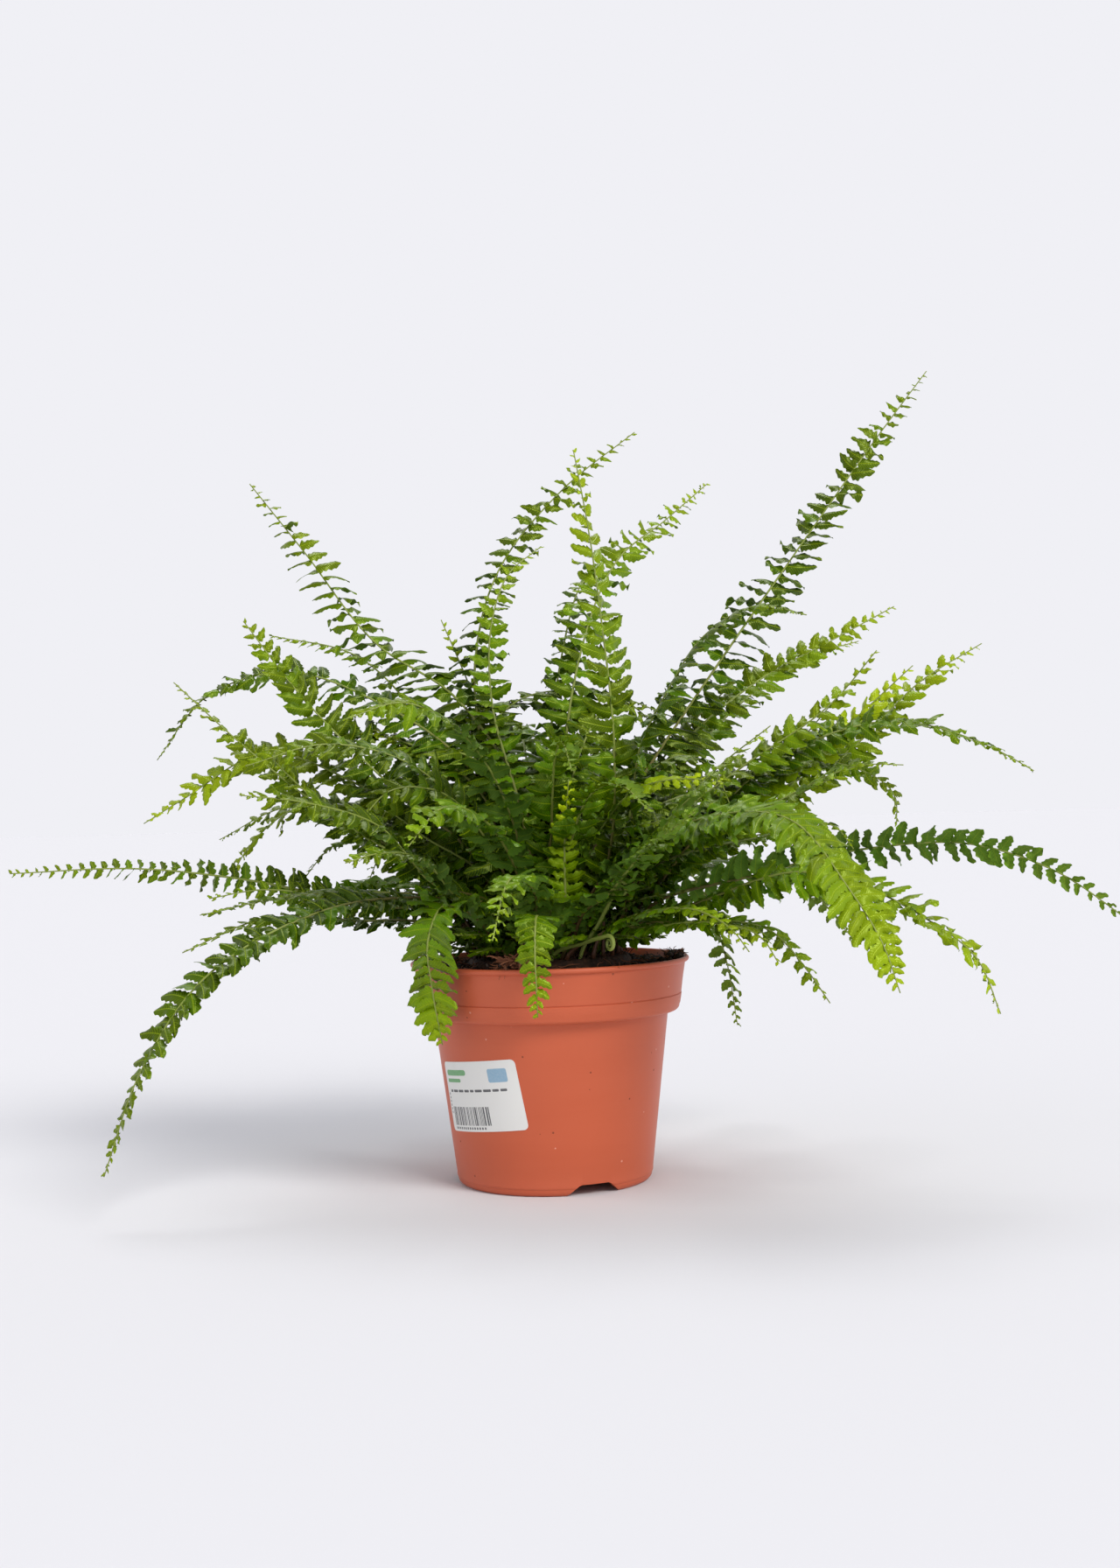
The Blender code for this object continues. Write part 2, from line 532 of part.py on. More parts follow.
def frond_stations(row, seat):
    """Stations along one frond: place, side, normal, distance share and natural half-width."""
    name, heading, _, width, lean, bare, ways = row
    stops = [seat] + [way_point(heading, place) for place in ways]
    route = route_through(stops)
    total = route[1][-1]
    blade = total * (1.0 - bare)
    stalk_steps = max(3, round(total * bare / 26.0))
    lobes = max(5, round(blade / LOBE_LENGTH))
    distances = [total * bare * step / stalk_steps for step in range(stalk_steps)]
    wide = []
    for _ in distances:
        wide.append(None)
    for lobe in range(lobes):
        distances.append(total * bare + blade * (lobe + 0.02) / lobes)
        wide.append(False)
        distances.append(total * bare + blade * (lobe + 0.55) / lobes)
        wide.append(True)
    distances.append(total)
    wide.append(False)
    stations = []
    for distance, is_wide in zip(distances, wide):
        here = along(route, distance)
        step = 1.0
        before = along(route, max(distance - step, 0.0))
        after = along(route, min(distance + step, total))
        tangent = (after - before).normalized()
        side, normal = frame_at(heading, lean, tangent)
        stalk = STALK_HALF + (STALK_TIP_HALF - STALK_HALF) * distance / total
        half = stalk
        if is_wide is not None:
            share = (distance - total * bare) / blade
            half = width / 2.0 * blade_profile(min(share, 0.985))
            if not is_wide:
                half *= LOBE_CUT
            half = max(half, stalk)
        stations.append([here, side, normal, stalk, half, half])
    stations[-1][4] = STALK_TIP_HALF
    stations[-1][5] = STALK_TIP_HALF
    return stations


def blade_samples(stations):
    """Points all over a frond, each with its station span, side and distance out."""
    samples = []
    for index in range(len(stations) - 1):
        first = stations[index]
        second = stations[index + 1]
        span = (second[0] - first[0]).length
        steps = max(1, math.ceil(span / ROUTE_STEP))
        for step in range(steps):
            t = (step + 0.5) / steps
            middle = first[0].lerp(second[0], t)
            side = first[1].lerp(second[1], t)
            normal = first[2].lerp(second[2], t)
            samples.append((middle, index, 0, 0.0))
            for sign, slot in ((1.0, 4), (-1.0, 5)):
                half = first[slot] * (1.0 - t) + second[slot] * t
                count = int(half / ROUTE_STEP)
                for out in range(1, count + 1):
                    reach = half * out / count
                    spot = middle + side * sign * reach - normal * BLADE_FOLD * reach
                    samples.append((spot, index, slot, reach))
    return samples


def pot_clearance(spot):
    """How far a point is outside the pot and above its rim; negative inside the pot's shape."""
    radius = math.hypot(spot.x, spot.y)
    if spot.z > RIM_TOP:
        return 100.0 if radius < COMPOST_FLAT_RADIUS else spot.z - RIM_TOP
    return radius - RIM_RADIUS


def crowd(all_stations, croziers):
    """Narrow the blades where a neighbour or a crozier passes, so that no two leaves touch."""
    names = list(all_stations)
    coils = [(-1, spot, 0, 0, 0.0) for spots in croziers for spot in spots]
    for _ in range(14):
        samples = list(coils)
        for owner, name in enumerate(names):
            samples += [(owner,) + sample for sample in blade_samples(all_stations[name])]
        tree = KDTree(len(samples))
        for index, sample in enumerate(samples):
            tree.insert(sample[1], index)
        tree.balance()
        limits = {}
        for owner, spot, station, slot, reach in samples:
            if slot == 0:
                continue
            near = False
            for _, other, distance in tree.find_range(spot, LEAF_GAP):
                if samples[other][0] != owner and samples[other][4] <= reach + 0.5:
                    near = True
                    break
            if not near and spot.z >= RIM_TOP - 80.0 and pot_clearance(spot) < LEAF_GAP:
                near = True
            if near:
                key = (owner, station, slot)
                limits[key] = min(limits.get(key, 1e9), reach)
        if not limits:
            return
        for (owner, station, slot), reach in limits.items():
            stations = all_stations[names[owner]]
            for index in (station, station + 1):
                least = max(stations[index][3], BLADE_MIN_HALF)
                shorter = max(least, reach - ROUTE_STEP * 0.6)
                if shorter < stations[index][slot]:
                    stations[index][slot] = shorter


def build_frond(name, stations, look):
    points = []
    for here, side, normal, stalk, left, right in stations:
        thick = max(stalk * 1.6, BLADE_THICKNESS * 0.5) if left < 3.0 else BLADE_THICKNESS
        thick = min(thick, stalk * 2.0) * 0.5
        points.append(here + side * left - normal * BLADE_FOLD * left)
        points.append(here + normal * thick)
        points.append(here - side * right - normal * BLADE_FOLD * right)
        points.append(here - normal * thick)
    faces = [(3, 2, 1, 0)]
    for index in range(len(stations) - 1):
        start = 4 * index
        for corner in range(4):
            after = (corner + 1) % 4
            faces.append((start + corner, start + after, start + 4 + after, start + 4 + corner))
    end = 4 * (len(stations) - 1)
    faces.append((end, end + 1, end + 2, end + 3))
    made = add_object(name, points, faces, look)
    smooth(made, 60.0)


def crozier_route(row, seat):
    """Stalk up from the crown, then a flat coil that turns inwards."""
    _, heading, _, ways = row
    stops = [seat] + [way_point(heading, place) for place in ways]
    route = route_through(stops)
    total = route[1][-1]
    spots = [along(route, total * step / 7.0) for step in range(8)]
    forward = (spots[-1] - spots[-2]).normalized()
    down = Vector((0.0, 0.0, -1.0))
    down = (down - forward * down.dot(forward)).normalized()
    middle = spots[-1] + down * CROZIER_COIL_RADIUS
    for step in range(1, 19):
        turn = math.radians(24.0 * step)
        radius = CROZIER_COIL_RADIUS * (1.0 - 0.036 * step)
        spots.append(middle + (forward * math.sin(turn) - down * math.cos(turn)) * radius)
    return spots, forward.cross(down).normalized()


def build_crozier(row, seat, look):
    spots, across = crozier_route(row, seat)
    points = []
    count = len(spots)
    for index, here in enumerate(spots):
        before = spots[max(index - 1, 0)]
        after = spots[min(index + 1, count - 1)]
        tangent = (after - before).normalized() if index else Vector((0.0, 0.0, 1.0))
        out = tangent.cross(across).normalized()
        thin = CROZIER_HALF * (1.0 - 0.7 * max(0.0, index / (count - 1) - 0.25))
        thin *= 0.75
        for corner in range(5):
            turn = 2.0 * math.pi * corner / 5
            points.append(here + out * thin * math.cos(turn) + across * thin * math.sin(turn))
    faces = [(4, 3, 2, 1, 0)]
    for index in range(count - 1):
        start = 5 * index
        for corner in range(5):
            after = (corner + 1) % 5
            faces.append((start + corner, start + after, start + 5 + after, start + 5 + corner))
    end = 5 * (count - 1)
    faces.append((end, end + 1, end + 2, end + 3, end + 4))
    made = add_object(row[0], points, faces, look)
    smooth(made, 60.0)


def main():
    clear_scene()
    pot_look = material("terracotta plastic", (0.54, 0.13, 0.07), 0.45)
    compost_look = material("peat compost", (0.035, 0.02, 0.012), 0.95)
    crown_look = material("scaly crown", (0.10, 0.05, 0.025), 0.9)
    label_look = material("label paper", (0.82, 0.82, 0.80), 0.5)
    leaf_look = material("fern leaf", (0.10, 0.26, 0.03), 0.45)
    young_look = material("young fern leaf", (0.38, 0.52, 0.06), 0.45)
    build_pot(pot_look)
    build_compost(compost_look)
    build_crown(crown_look)
    build_label(label_look)
    seats = seat_places()
    all_stations = {row[0]: frond_stations(row, seats[row[0]]) for row in FRONDS}
    coils = [crozier_route(row, seats[row[0]])[0] for row in CROZIERS]
    crowd(all_stations, coils)
    for row in FRONDS:
        look = young_look if "yellow" in row[0] or "young" in row[0] else leaf_look
        build_frond(row[0], all_stations[row[0]], look)
    for row in CROZIERS:
        build_crozier(row, seats[row[0]], young_look)


main()
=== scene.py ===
"""Potted Boston fern: the finish of every frond, the compost, the crown, the pot and its label."""

import math
import random
from collections import namedtuple
from functools import partial

import bmesh
import bpy
import numpy as np
from mathutils import Matrix, Vector


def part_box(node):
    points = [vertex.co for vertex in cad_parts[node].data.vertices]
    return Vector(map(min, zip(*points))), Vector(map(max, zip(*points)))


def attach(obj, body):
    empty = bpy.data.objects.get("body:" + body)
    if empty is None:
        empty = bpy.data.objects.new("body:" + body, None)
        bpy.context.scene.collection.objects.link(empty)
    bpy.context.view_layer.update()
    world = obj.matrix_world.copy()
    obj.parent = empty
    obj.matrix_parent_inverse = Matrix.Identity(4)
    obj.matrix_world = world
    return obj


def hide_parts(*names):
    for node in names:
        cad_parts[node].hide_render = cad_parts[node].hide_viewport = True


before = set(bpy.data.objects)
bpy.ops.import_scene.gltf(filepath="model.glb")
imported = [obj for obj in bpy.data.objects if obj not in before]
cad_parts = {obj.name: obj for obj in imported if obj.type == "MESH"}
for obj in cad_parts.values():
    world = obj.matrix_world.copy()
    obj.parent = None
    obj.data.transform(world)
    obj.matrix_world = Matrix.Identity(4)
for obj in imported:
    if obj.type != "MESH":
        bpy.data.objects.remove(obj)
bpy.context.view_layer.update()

bl_info = {
    "name": "Potted Fern",
    "version": (1, 0, 0),
    "blender": (4, 5, 0),
    "location": "3D View > Sidebar > Potted Fern",
    "description": "Builds a potted Boston fern around its frame",
    "category": "Add Mesh",
}

POT_LOW, POT_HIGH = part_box("pot")
COMPOST_LOW, COMPOST_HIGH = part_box("compost")
CROWN_LOW, CROWN_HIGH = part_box("crown")
MM = 0.001
POT_WALL = 1.4 * MM

# Fixed by the frame, in metres
RIM_RADIUS = POT_HIGH.x
RIM_TOP = POT_HIGH.z
CROWN_TOP = CROWN_HIGH.z
SEAT_GAP = 0.3 * MM
SEAT_HEIGHT = CROWN_TOP + SEAT_GAP
CROWN_RADIUS = 50.0 * MM
SEAT_RINGS = (0.14, 0.37, 0.62, 0.87)
SEAT_PITCH = 8.8 * MM
SKY = np.array((0.0, 0.0, 1.0))

# Stalks: how far their feet sink into the crown, where they hang clear of the pot, and how far
# their blades roll from side to side along the way
FOOT_SINK = 1.5 * MM
HANG_CLEARANCE = 5.0 * MM
HANG_LEVEL = 6.0 * MM
ROLL_WAVE = 170.0 * MM
ROLL_DRIFT = math.radians(18.0)
STALK_SIDES = 8
STALK_FOOT_RADIUS = 1.25 * MM
STALK_TIP_RADIUS = 0.35 * MM
STALK_RING_PITCH = 4.0 * MM
ROUTE_STEPS = 40

# Pinnae
PINNA_SKIN = 0.13 * MM
PINNA_SHORTEST = 3.2 * MM
PINNA_TIP_GAP = 2.5 * MM
SCALLOP = 3.1 * MM
FLAT_TURN = 14.0

LEAF_MARKS = ("tone", "fresh", "underside")

# Flat layout of a frond for the bake, as shares of its square
CELL_MARGIN = 0.08
GRID_FLOOR = 0.05
STRIP_HEIGHT = 0.04
CAP_PLACE = 0.045
CAP_SIZE = 0.002

# Sister fronds: how high and far out, in millimetres, a frond ends that has one, and where it is
# tall enough for a much shorter one
SISTER_LEVEL = 40.0
SISTER_REACH = 60.0
SISTER_TALL = 180.0
SISTER_FOOT = 2.6 * MM
FRONT = 268.0
FRONT_SPREAD = 44.0

# Pot profile, in metres, as on the frame
BEAD_HEIGHT = 3.2 * MM
BEAD_OVERHANG = 2.3 * MM
COLLAR_DEPTH = 32.5 * MM
COLLAR_TAPER = 4.2 * MM
COLLAR_ROUND = 3.0 * MM
COLLAR_STEP = 7.0 * MM
GROOVE_DROP = 22.0 * MM
BODY_TAPER = 11.7 * MM
FOOT_STEP = 2.8 * MM
FOOT_HEIGHT = 7.0 * MM
FOOT_THICKNESS = 2.4 * MM
FLOOR_THICKNESS = 1.6 * MM
NOTCH_HEADING = 293.5
NOTCH_COUNT = 3
NOTCH_HEIGHT = 6.4 * MM
NOTCH_HALF_WIDTH_LOW = 17.0 * MM
NOTCH_HALF_WIDTH_HIGH = 9.5 * MM
DRAIN_COUNT = 6
DRAIN_RADIUS = 4.5 * MM
DRAIN_INSET = 15.8 * MM

COLLAR_LOW = RIM_TOP - COLLAR_DEPTH
COLLAR_TOP_RADIUS = RIM_RADIUS - BEAD_OVERHANG
COLLAR_BOTTOM_RADIUS = COLLAR_TOP_RADIUS - COLLAR_TAPER
BODY_TOP_RADIUS = COLLAR_BOTTOM_RADIUS - COLLAR_STEP
BODY_BASE_RADIUS = BODY_TOP_RADIUS - BODY_TAPER
FOOT_RADIUS = BODY_BASE_RADIUS - FOOT_STEP

# Label, in metres and degrees
LABEL_HEADING = 227.5
LABEL_WIDTH = 63.0 * MM
LABEL_HEIGHT = 41.5 * MM
LABEL_DROP = 23.0 * MM
LABEL_TILT = 5.5
LABEL_CORNER = 3.0 * MM
LABEL_MIDDLE = COLLAR_LOW - LABEL_DROP - LABEL_HEIGHT / 2.0

# Each frond: name, heading in degrees (0 right, 90 back, 180 left, 270 front), seat ring, blade
# width in millimetres, lean of the blade towards the front in degrees, bare share of the length,
# lightness of its green, youth (0 grown, 1 fresh yellow-green), how far its pinnae turn out of the
# blade in degrees (past about 20 they start to stand level, with their faces to the sky), then the
# places it passes as (reach out, height above the seat, sideways) in millimetres, tip last.
Frond = namedtuple("Frond", "name heading ring width lean bare lightness youth turned ways")
FRONDS = tuple(Frond(*row) for row in (
    ("frond_far_left", 176, 3, 28, 72, 0.2, 0.2, 0.1, 12,
     ((60, 25, 0), (125, 36, 0), (190, 50, 0), (255, 58, 0), (337, 57, 0))),
    ("frond_left_short_upper", 196, 3, 40, 20, 0.2, 0.12, 0.15, 40,
     ((55, 26, 0), (120, 42, 0), (165, 40, 0), (210, 32, 0))),
    ("frond_left_short_lower", 186, 3, 34, 30, 0.22, 0.15, 0.1, 45,
     ((60, 15, 0), (120, 24, 0), (175, 26, 0), (221, 8, 0))),
    ("frond_left_drooping", 205, 3, 40, 25, 0.2, 0.1, 0.05, 10,
     ((50, 26, 0), (105, 38, 0), (169, 24, 0), (215, -3, 0), (251, -52, 0), (272, -107, 0))),
    ("frond_left_yellow", 172, 2, 48, 50, 0.22, 0.05, 0.5, 26,
     ((55, 60, 0), (120, 108, 0), (175, 128, 0), (232, 100, 0), (257, 86, 0))),
    ("frond_tall_left", 162, 1, 58, 70, 0.2, 0.08, 0.15, 66,
     ((14, 80, -8), (58, 160, 0), (109, 195, 0), (159, 258, 0), (196, 304, 0))),
    ("frond_left_high", 176, 2, 60, 60, 0.24, 0.05, 0.05, 30,
     ((42, 55, 0), (94, 104, 0), (152, 165, 0), (185, 210, 0))),
    ("frond_left_high_small", 150, 2, 36, 60, 0.26, 0.35, 0.2, 58,
     ((40, 70, 0), (78, 131, 0), (137, 190, 0), (211, 210, 0))),
    ("frond_left_high_yellow", 187, 2, 40, 50, 0.26, 0.05, 0.15, 30,
     ((60, 45, 0), (130, 88, 0), (188, 137, 0), (222, 170, 0))),
    ("frond_left_dark_arch", 165, 2, 50, 45, 0.2, 0.12, 0.0, 36,
     ((45, 110, 0), (109, 159, 0), (169, 180, 0), (226, 166, 0), (261, 127, 0))),
    ("frond_front_left_bright", 218, 2, 46, 30, 0.18, 0.05, 0.05, 16,
     ((40, 30, 0), (85, 47, 0), (119, 80, 0), (167, 95, 0), (209, 100, 0))),
    ("frond_centre_upright", 300, 1, 46, 180, 0.18, 0.22, 0.35, 22,
     ((40, 60, 20), (54, 113, 17), (58, 200, 8), (60, 250, 0), (62, 296, -10))),
    ("frond_back_arch", 90, 1, 46, 0, 0.2, 0.05, 0.05, 60,
     ((25, 110, 36), (40, 178, 43), (60, 239, 29), (80, 300, -18), (90, 337, -65))),
    ("frond_back_right_tall", 50, 1, 46, 60, 0.22, 0.45, 0.3, 40,
     ((16, 90, 0), (30, 165, 0), (77, 247, 0), (132, 280, 0), (181, 310, 0))),
    ("frond_centre_back", 100, 0, 34, 0, 0.26, 0.5, 0.2, 35,
     ((0, 90, 16), (12, 157, 30), (20, 202, 28), (35, 237, 14), (50, 257, -10))),
    ("frond_tall_right", 18, 1, 54, 60, 0.18, 0.0, 0.0, 44,
     ((25, 50, 0), (67, 111, 0), (120, 181, 0), (178, 255, 0), (236, 328, 0), (272, 371, 0))),
    ("frond_right_arch", 322, 1, 54, 40, 0.22, 0.15, 0.05, 56,
     ((54, 60, 8), (74, 127, 0), (93, 155, 0), (118, 184, 0), (157, 199, 0), (187, 191, 0))),
    ("frond_right_high", 22, 2, 44, 55, 0.22, 0.12, 0.3, 32,
     ((40, 60, 0), (82, 116, 0), (144, 164, 0), (209, 196, 0), (253, 217, 0))),
    ("frond_back_right_high", 40, 2, 38, 40, 0.26, 0.4, 0.2, 38,
     ((50, 55, 0), (105, 105, 0), (176, 158, 0), (240, 190, 0), (295, 203, 0))),
    ("frond_right_front_high", 346, 2, 44, 50, 0.22, 0.25, 0.3, 35,
     ((32, 35, 2), (63, 67, 0), (120, 109, 0), (178, 148, 0), (203, 176, 0))),
    ("frond_right_yellow", 356, 2, 48, 50, 0.26, 0.75, 0.95, 15,
     ((50, 48, 4), (116, 87, 0), (177, 128, 0), (225, 169, 0))),
    ("frond_right_long_rise", 8, 2, 44, 50, 0.2, 0.2, 0.45, 28,
     ((55, 30, 0), (119, 82, 0), (193, 120, 0), (243, 164, 0), (282, 186, 0))),
    ("frond_right_arch_low", 352, 3, 46, 40, 0.22, 0.25, 0.05, 35,
     ((70, 42, -6), (148, 118, 0), (210, 135, 0), (271, 116, 0), (292, 103, 0))),
    ("frond_right_short", 330, 3, 38, 30, 0.24, 0.35, 0.3, 35,
     ((64, 48, -4), (149, 87, 0), (209, 108, 0), (229, 107, 0))),
    ("frond_front_right_short", 305, 2, 38, 25, 0.24, 0.45, 0.3, 20,
     ((60, 40, 0), (110, 72, 0), (165, 108, 0), (208, 128, 0))),
    ("frond_far_right", 346, 3, 38, -68, 0.2, 0.6, 0.05, 14,
     ((60, 25, 0), (126, 45, 0), (195, 60, 0), (255, 61, 0), (298, 46, 0), (345, 12, 0))),
    ("frond_front_right_big", 318, 3, 64, 20, 0.18, 0.4, 0.32, 2,
     ((50, 45, 0), (119, 80, 0), (184, 77, 0), (216, 43, 0), (238, 11, 0), (247, -13, 0))),
    ("frond_right_drooping", 335, 3, 46, 30, 0.2, 0.4, 0.45, 12,
     ((50, 16, 5), (93, 29, 0), (164, 48, 0), (232, 22, 0), (261, -1, 0), (273, -31, 0))),
    ("frond_front_right_thin", 304, 3, 26, 15, 0.26, 0.35, 0.3, 35,
     ((55, 14, 0), (105, 29, 0), (150, 30, 0), (178, 20, 0), (190, 10, 0))),
    ("frond_front_right_low", 312, 3, 30, 15, 0.26, 0.3, 0.3, 40,
     ((45, 12, 0), (86, 18, 0), (141, 22, 0), (175, 14, 0), (185, 2, 0))),
    ("frond_right_low", 324, 3, 36, 15, 0.22, 0.35, 0.2, 35,
     ((50, 11, 0), (103, 20, 0), (157, 15, 0), (178, -6, 0), (191, -23, 0))),
    ("frond_over_rim_left", 226, 3, 50, 12, 0.18, 0.45, 0.25, 0,
     ((62, 26, 0), (88, 33, 0), (99, 15, 0), (97, -12, 0), (90, -46, 0))),
    ("frond_over_rim_front", 266, 3, 30, 0, 0.22, 0.4, 0.2, 2,
     ((68, 24, 0), (94, 26, 0), (104, 9, 0), (101, -10, 0), (97, -28, 0))),
    ("frond_front_grey", 298, 2, 34, 0, 0.2, 0.5, 0.1, 5,
     ((40, 22, 0), (75, 38, 0), (115, 62, 0), (170, 84, 0))),
    ("frond_front_yellow_tip", 316, 1, 28, 20, 0.26, 0.7, 0.8, 10,
     ((35, 60, 0), (70, 96, 0), (117, 103, 0), (140, 100, 0))),
    ("frond_back_left_tip", 135, 2, 34, 30, 0.26, 0.4, 0.3, 20,
     ((45, 125, 0), (70, 175, 0), (92, 213, 0))),
    ("frond_front_young", 286, 2, 25, 180, 0.18, 0.9, 0.9, 8,
     ((36, 30, 0), (40, 70, 0), (52, 105, 0))),
    ("frond_front_left_mid", 244, 2, 46, 10, 0.2, 0.5, 0.05, 20,
     ((40, 50, 0), (85, 85, 0), (128, 90, 0), (165, 70, 0))),
    ("frond_front_mid", 276, 1, 38, 180, 0.2, 0.35, 0.05, 24,
     ((25, 70, 0), (60, 115, 0), (105, 125, 0), (150, 108, 0))),
    ("frond_front_left_high", 230, 1, 48, 20, 0.2, 0.3, 0.1, 18,
     ((30, 80, 0), (75, 135, 0), (120, 150, 0), (165, 140, 0))),
    ("frond_front_reach", 262, 3, 34, 0, 0.2, 0.6, 0.2, 20,
     ((50, 30, 0), (100, 50, 0), (150, 48, 0), (195, 22, 0))),
    ("frond_back_right_low", 34, 3, 46, 0, 0.2, 0.35, 0.15, 30,
     ((60, 26, 0), (130, 52, 0), (200, 38, 0), (255, -10, 0))),
    ("frond_back_right_drooping", 56, 3, 48, 0, 0.2, 0.35, 0.15, 24,
     ((60, 34, 0), (120, 58, 0), (180, 38, 0), (222, -22, 0), (236, -70, 0))),
    ("frond_back_mid_right", 66, 2, 46, 0, 0.2, 0.35, 0.15, 34,
     ((50, 80, 0), (110, 130, 0), (165, 126, 0), (212, 90, 0))),
    ("frond_back_low", 84, 3, 46, 0, 0.2, 0.35, 0.15, 22,
     ((60, 28, 0), (120, 44, 0), (170, 20, 0), (196, -34, 0))),
    ("frond_back_mid", 100, 2, 46, 0, 0.2, 0.35, 0.15, 30,
     ((45, 90, 0), (95, 140, 0), (150, 138, 0), (196, 100, 0))),
    ("frond_back_left_drooping", 116, 3, 46, 0, 0.2, 0.35, 0.15, 26,
     ((60, 30, 0), (120, 48, 0), (180, 22, 0), (214, -40, 0))),
    ("frond_back_left_low", 142, 3, 46, 0, 0.2, 0.35, 0.15, 34,
     ((60, 24, 0), (130, 44, 0), (200, 30, 0), (262, -8, 0))),
    ("frond_back_left_mid", 128, 2, 44, 0, 0.2, 0.35, 0.15, 28,
     ((55, 60, 0), (115, 98, 0), (175, 92, 0), (226, 50, 0))),
    ("frond_back_tall", 74, 0, 44, 0, 0.2, 0.35, 0.15, 36,
     ((24, 100, 6), (58, 185, 4), (105, 238, 2), (160, 250, 0))),
    ("frond_left_mid", 197, 1, 54, 45, 0.2, 0.05, 0.05, 30,
     ((40, 70, 0), (85, 118, 0), (135, 130, 0), (182, 118, 0))),
    ("frond_front_right_mid", 292, 1, 38, 180, 0.22, 0.35, 0.15, 24,
     ((30, 55, 0), (70, 95, 0), (115, 100, 0), (150, 86, 0))),
    ("frond_back_left_mid_low", 155, 2, 44, 30, 0.2, 0.15, 0.15, 32,
     ((55, 50, 0), (120, 84, 0), (190, 94, 0), (242, 74, 0))),
))

# Curled young fronds: name, heading of the stalk, seat ring, then its way; the last place is the coil.
Crozier = namedtuple("Crozier", "name heading ring ways")
CROZIERS = (
    Crozier("crozier_front_tall", 309, 3, ((54, 22, -4), (74, 44, -6))),
    Crozier("crozier_front_low", 290, 3, ((62, 10, 0), (84, 15, 6))),
)
COIL_RADIUS = 4.6 * MM
COIL_STEPS = 54
CROZIER_SIDES = 10
BUD_SIDES = 6

# Compost: facets of its surface
GROUND_RINGS = 34
GROUND_SIDES = 150
MOUND_RINGS = 26
MOUND_SIDES = 120

# Compost that lies on the rim: heaps of crumbs (heading, how many) and of fibres (heading, how many,
# how steeply they stand), and a loose tuft of longer dry fibres at the front
RIM_CRUMBS = ((184.0, 70), (352.0, 60), (4.0, 30), (255.0, 26))
RIM_FIBRES = ((254.0, 120, 0.1), (186.0, 50, 0.3), (355.0, 50, 0.35))
TUFT_COUNT = 80
TUFT_HEADINGS = (251.0, 259.0)
TUFT_REACH = (70.0, 79.0)
TUFT_RADIUS = 0.55 * MM
HAIR_COUNT = 900

# Print on the label, plain blocks only: place of the middle across and up, width, height and corner,
# all in millimetres
GREEN_PRINT = ((-17.0, 14.2, 22.0, 3.4, 1.6), (-20.0, 9.6, 16.0, 2.2, 1.0))
BLUE_PRINT = ((18.5, 12.0, 13.0, 8.0, 1.2),)
DASH_ROW = (-26.0, 22.0, 3.4, 1.5, 0.5)
DASH_WIDTHS = (2.2, 6.5)
DASH_GAP = 1.1
STRIPES_FROM = -26.5
STRIPE_WIDTHS = (0.4, 0.4, 0.8, 1.2)
STRIPE_GAPS = (0.5, 0.5, 1.0)
STRIPE_SHAPE = (-11.6, 11.0, 0.05)
LOW_BLOCKS = 14
EDGE_BLOCKS = 6
PAPER_LOW = 0.05 * MM
PAPER_HIGH = 0.3 * MM
INK_HIGH = 0.33 * MM

# Studio
FLOOR_RADIUS = 40.0
FLOOR_RINGS = 12
FLOOR_SIDES = 72
# Lamps: name, the way each stands, how wide it looks in degrees, strength and colour
LAMPS = (
    ("key_lamp", (0.68, -0.8, 0.95), 26.0, 2.05, "#FFFDF8"),
    ("top_lamp", (-0.1, 0.45, 1.0), 30.0, 1.0, "#FFFFFF"),
    ("fill_lamp", (-0.9, -0.6, 0.8), 50.0, 0.12, "#F8FBFF"),
)


def linear(hex_text):
    """An sRGB hex colour as linear red, green, blue and alpha."""
    parts = [int(hex_text[i : i + 2], 16) / 255.0 for i in (1, 3, 5)]
    curve = [p / 12.92 if p <= 0.04045 else ((p + 0.055) / 1.055) ** 2.4 for p in parts]
    return (*curve, 1.0)


# Sizes and colours a user would change


class FernPotSettings(bpy.types.PropertyGroup):
    wall: bpy.props.FloatProperty(
        name="Wall", description="Thickness of the moulded wall",
        default=POT_WALL, unit="LENGTH",
    )
    sides: bpy.props.IntProperty(name="Sides", description="Facets round the pot", default=180)
    plastic: bpy.props.FloatVectorProperty(
        name="Plastic", description="Colour of the plastic",
        default=linear("#C35B3A"), size=4, subtype="COLOR",
    )
    dust: bpy.props.FloatProperty(
        name="Dust", description="How much compost dust clings to the pot",
        default=0.35, subtype="FACTOR",
    )


class FernCompostSettings(bpy.types.PropertyGroup):
    crumbs: bpy.props.IntProperty(name="Crumbs", description="Loose crumbs on the surface", default=1500)
    fibres: bpy.props.IntProperty(name="Fibres", description="Loose fibres on the surface", default=220)
    peat: bpy.props.FloatVectorProperty(
        name="Peat", description="Colour of moist peat",
        default=linear("#2A1D15"), size=4, subtype="COLOR",
    )
    fibre: bpy.props.FloatVectorProperty(
        name="Fibre", description="Colour of dry fibre",
        default=linear("#B5714C"), size=4, subtype="COLOR",
    )


